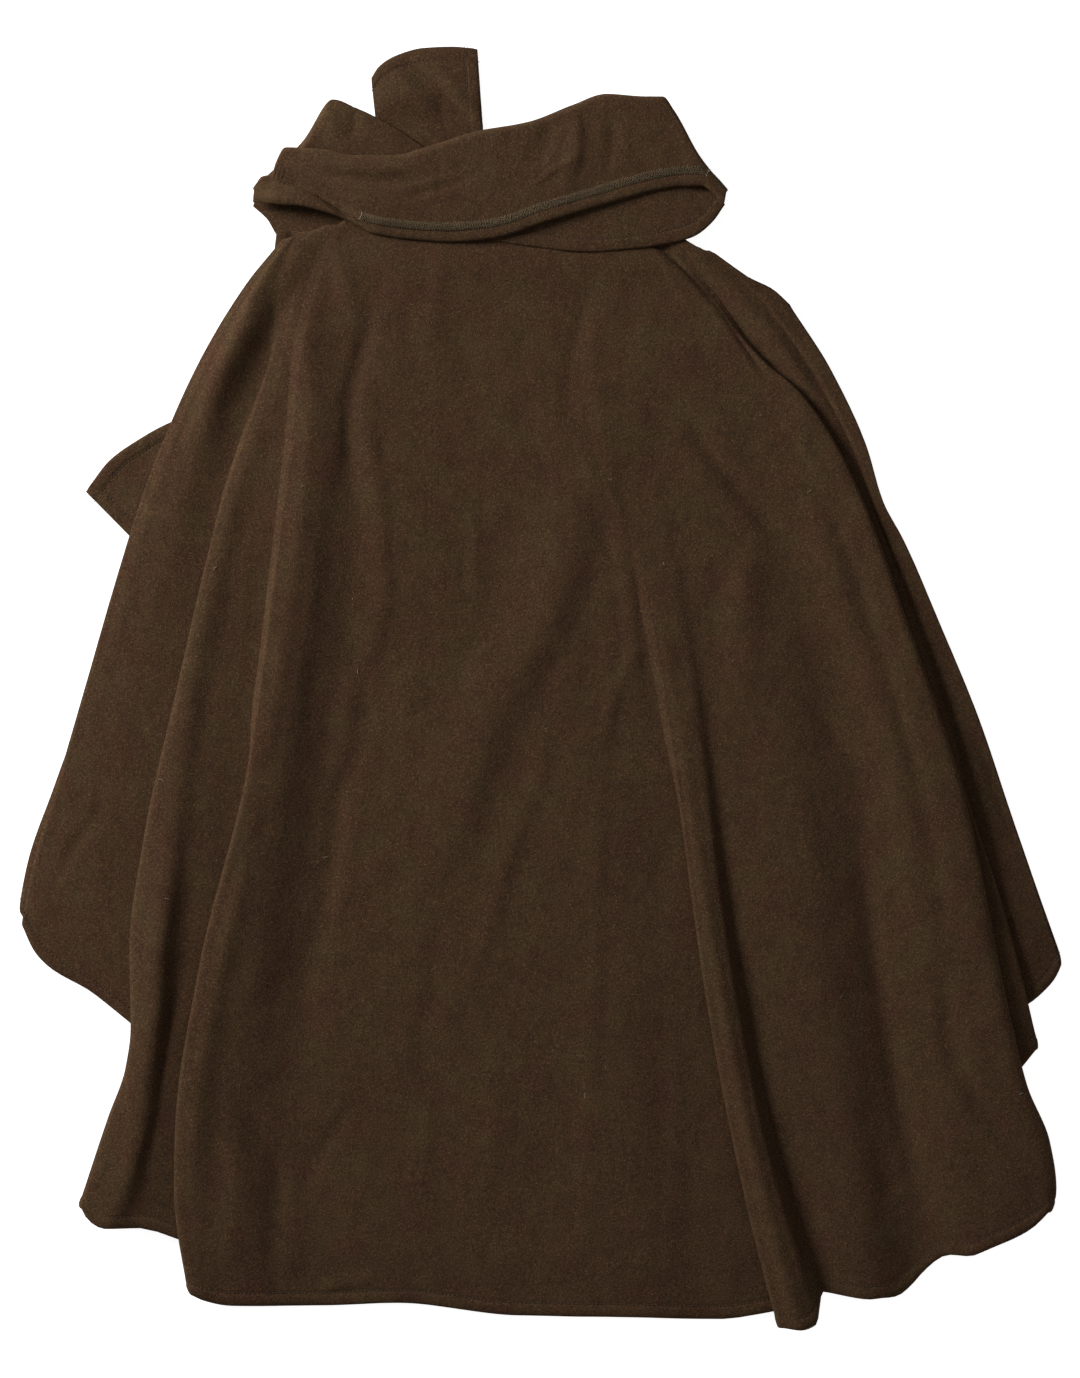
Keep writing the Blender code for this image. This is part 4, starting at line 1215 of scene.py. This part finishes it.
def stray_fibres(fibre):
    """Short stray fibres and lint that lie at random on the nap."""
    def make(tree, given):
        spots = add_node(tree, "GeometryNodeDistributePointsOnFaces", Mesh=given["Geometry"],
                         Density=given["Fibres Per Square Metre"], Seed=given["Seed"])
        bow = add_node(tree, "GeometryNodeCurveArc", Resolution=5, Radius=LINT_BOW_RADIUS,
                       Sweep_Angle=LINT_BOW)
        ring = add_node(tree, "GeometryNodeCurvePrimitiveCircle", Resolution=3,
                        Radius=LINT_THICKNESS)
        thin = add_node(tree, "GeometryNodeCurveToMesh", Curve=bow.outputs[0],
                        Profile_Curve=ring.outputs[0])
        turned_by = add_node(tree, "FunctionNodeRandomValue", {"data_type": "FLOAT_VECTOR"},
                             _0=(0.0, 0.0, 0.0), _1=(LINT_TILT, LINT_TILT, LINT_TURN), Seed=2)
        rest = add_node(tree, "FunctionNodeRotateRotation", {"rotation_space": "LOCAL"},
                        Rotation=spots.outputs["Rotation"], Rotate_By=turned_by.outputs[0])
        length = add_node(tree, "FunctionNodeRandomValue", {"data_type": "FLOAT"},
                          _2=LINT_SHORTEST, _3=LINT_LONGEST, Seed=3)
        sized = add_node(tree, "ShaderNodeMath", {"operation": "MULTIPLY"},
                         _0=length.outputs[1], _1=given["Fibre Length"])
        return add_node(tree, "GeometryNodeInstanceOnPoints", Points=spots.outputs[0],
                        Instance=thin.outputs[0], Rotation=rest.outputs[0],
                        Scale=sized.outputs[0]).outputs[0]
    return thread_tree("stray_fibres", LINT_SIZES, make, fibre, round_shaded=False)


def grown(name, data, tree, sizes=None):
    """A plain mesh piece of what a tree of geometry nodes makes from some starting mesh."""
    group, labels = tree
    piece = placed(name, data)
    live = piece.modifiers.new("nodes", "NODES")
    live.node_group = group
    for label, value in (sizes or {}).items():
        live[labels[label]] = value
    made = bpy.data.meshes.new_from_object(
        piece.evaluated_get(bpy.context.evaluated_depsgraph_get()))
    piece.modifiers.remove(live)
    piece.data = made
    made.name = name
    return piece


def line_mesh(places):
    """Bare line through the places, for threads to follow."""
    data = bpy.data.meshes.new("line")
    data.from_pydata((places * MM).tolist(), [(k, k + 1) for k in range(len(places) - 1)], [])
    return data


def upper_face(sheet):
    """The upper side of a cloth alone, for fibres to lie on."""
    rows, columns = sheet.shape[:2]
    points = (sheet + sheet_normals(sheet) * CLOTH / 2).reshape(-1, 3) * MM
    faces = grid_faces(np.arange(rows * columns).reshape(rows, columns))[:, (0, 3, 2, 1)]
    data = bpy.data.meshes.new("upper_face")
    data.from_pydata(points.tolist(), [], faces.tolist())
    return data


def soft_light(name, place, width, power, colour):
    """Large soft lamp that looks at the middle of the coat."""
    data = bpy.data.lights.new(name, "AREA")
    data.shape = "DISK"
    data.size = width
    data.energy = power
    data.color = colour
    lamp = placed(name, data)
    lamp.location = place
    lamp.rotation_mode = "QUATERNION"
    lamp.rotation_quaternion = (-Vector(place)).to_track_quat("-Z", "Y")


def studio():
    """White floor that glows, soft light from the upper left, a camera straight above."""
    scene = bpy.context.scene
    scene.view_settings.view_transform = "Standard"
    paper, _, shader = new_material("paper_floor")
    shader.inputs["Base Color"].default_value = (0.5, 0.5, 0.5, 1.0)
    shader.inputs["Roughness"].default_value = 0.9
    shader.inputs["Emission Color"].default_value = (1.0, 1.0, 1.0, 1.0)
    shader.inputs["Emission Strength"].default_value = 0.9
    data = bpy.data.meshes.new("floor")
    reach, level = FLOOR_REACH * MM, FLOOR_LEVEL * MM
    data.from_pydata([(-reach, -reach, level), (reach, -reach, level), (reach, reach, level),
                      (-reach, reach, level)], [], [(0, 1, 2, 3)])
    data.materials.append(paper)
    floor = placed("floor", data)
    scene.world = bpy.data.worlds.new("studio")
    scene.world.use_nodes = True
    air = scene.world.node_tree.nodes["Background"]
    air.inputs["Color"].default_value = (1.0, 1.0, 1.0, 1.0)
    air.inputs["Strength"].default_value = 0.2
    for name, lamp in LAMPS.items():
        soft_light(name, *lamp)
    eye = bpy.data.cameras.new("camera")
    eye.lens = LENS
    eye.sensor_width = SENSOR
    scene.camera = placed("camera", eye)
    distance = PHOTO_HEIGHT * PIXEL * MM * LENS / SENSOR
    scene.camera.location = (MIDDLE_X * MM, MIDDLE_Y * MM, distance + MEAN_HEIGHT * MM)


def sewing_of(name, sheet, hems, hem_profile, straight, looper):
    """Stitches along the hems of a piece, and the threads that cover a hem's raw edge."""
    sewing = []
    for k, hem in enumerate(hems):
        line = side_points(sheet, hem, HEM_STITCH, STITCH_HEIGHT)
        sewing.append(grown(f"{name}_stitches_{k}", line_mesh(line), straight))
        if hem_profile is HEM_BACK:
            cover = side_points(sheet, hem, COVER_MIDDLE, COVER_HEIGHT)
            cover = cover[int(COVER_FROM * len(cover)):int(COVER_TO * len(cover))]
            for phase in (0, 1):
                sewing.append(grown(f"{name}_cover_{phase}", line_mesh(cover), looper,
                                    {"Phase": phase}))
    for part in sewing:
        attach(part, "root")
    return sewing


def main():
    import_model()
    studio()

    cloths = {
        # slot: material, shape of a hem
        "fleece": (
            brushed_fleece("polyester_fleece_brushed", FLEECE_TONES, FLEECE_STREAK), HEM_FACE),
        "fleece_wrong_side": (
            brushed_fleece("polyester_fleece_wrong_side", WRONG_SIDE_TONES, WRONG_SIDE_STREAK),
            HEM_BACK),
    }
    straight = straight_stitches(plain_thread("hem_thread_polyester", "#3c3124"))
    looper = looper_threads(plain_thread("cover_thread_grey", "#98866a"))
    stray = stray_fibres(plain_thread("pale_lint", "#9a8f7e"))

    front_left = front_sheet(LEFT_FRONT_NECK, LEFT_FRONT_HEM, "left_edge", LEFT_FRONT_INSET, True)
    front_right = front_sheet(
        RIGHT_FRONT_NECK, RIGHT_FRONT_HEM, "right_edge", RIGHT_FRONT_INSET, False)
    sheets = {
        # node: middle surface, slot, hems, what it rests on, flat size and area in metres, as
        # measured along that surface
        "front_left": (front_left, "fleece", ("last row",), ["floor"], (0.70, 0.90), 0.27),
        "front_right": (front_right, "fleece", ("last row",), ["floor"], (0.56, 0.90), 0.27),
        "scarf_end_left": (scarf_left_sheet(), "fleece", ("first row", "last column"), ["floor"],
                           (0.34, 0.09), 0.026),
        "scarf_end_top": (scarf_top_sheet(), "fleece", ("last column", "last row"), ["floor"],
                          (0.096, 0.146), 0.0125),
        "collar_front": (collar_front_sheet(), "fleece_wrong_side", (),
                         ["front_left", "front_right"], (0.17, 0.12), 0.0125),
        "back": (back_sheet(), "fleece", ("last row",),
                 ["front_left", "front_right", "scarf_end_left"], (1.66, 0.92), 0.72),
        "collar_under": (collar_under_sheet(), "fleece", ("first column",), ["back"],
                         (0.20, 0.10), 0.0155),
        "collar_over": (collar_over_sheet(), "fleece_wrong_side", ("first column",),
                        ["back", "collar_under"], (0.43, 0.16), 0.045),
    }
    for name, (sheet, slot, hems, rests_on, flat, area) in sheets.items():
        material, hem_profile = cloths[slot]
        piece = cloth_piece(name + "_cloth", sheet, material, hems, hem_profile)
        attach(piece, "root")
        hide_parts(name)
        sewing = sewing_of(name, sheet, hems, hem_profile, straight, looper)
        if name == "back":
            lint = grown("back_lint", upper_face(sheet), stray)
            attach(lint, "root")
            sewing.append(lint)


main()
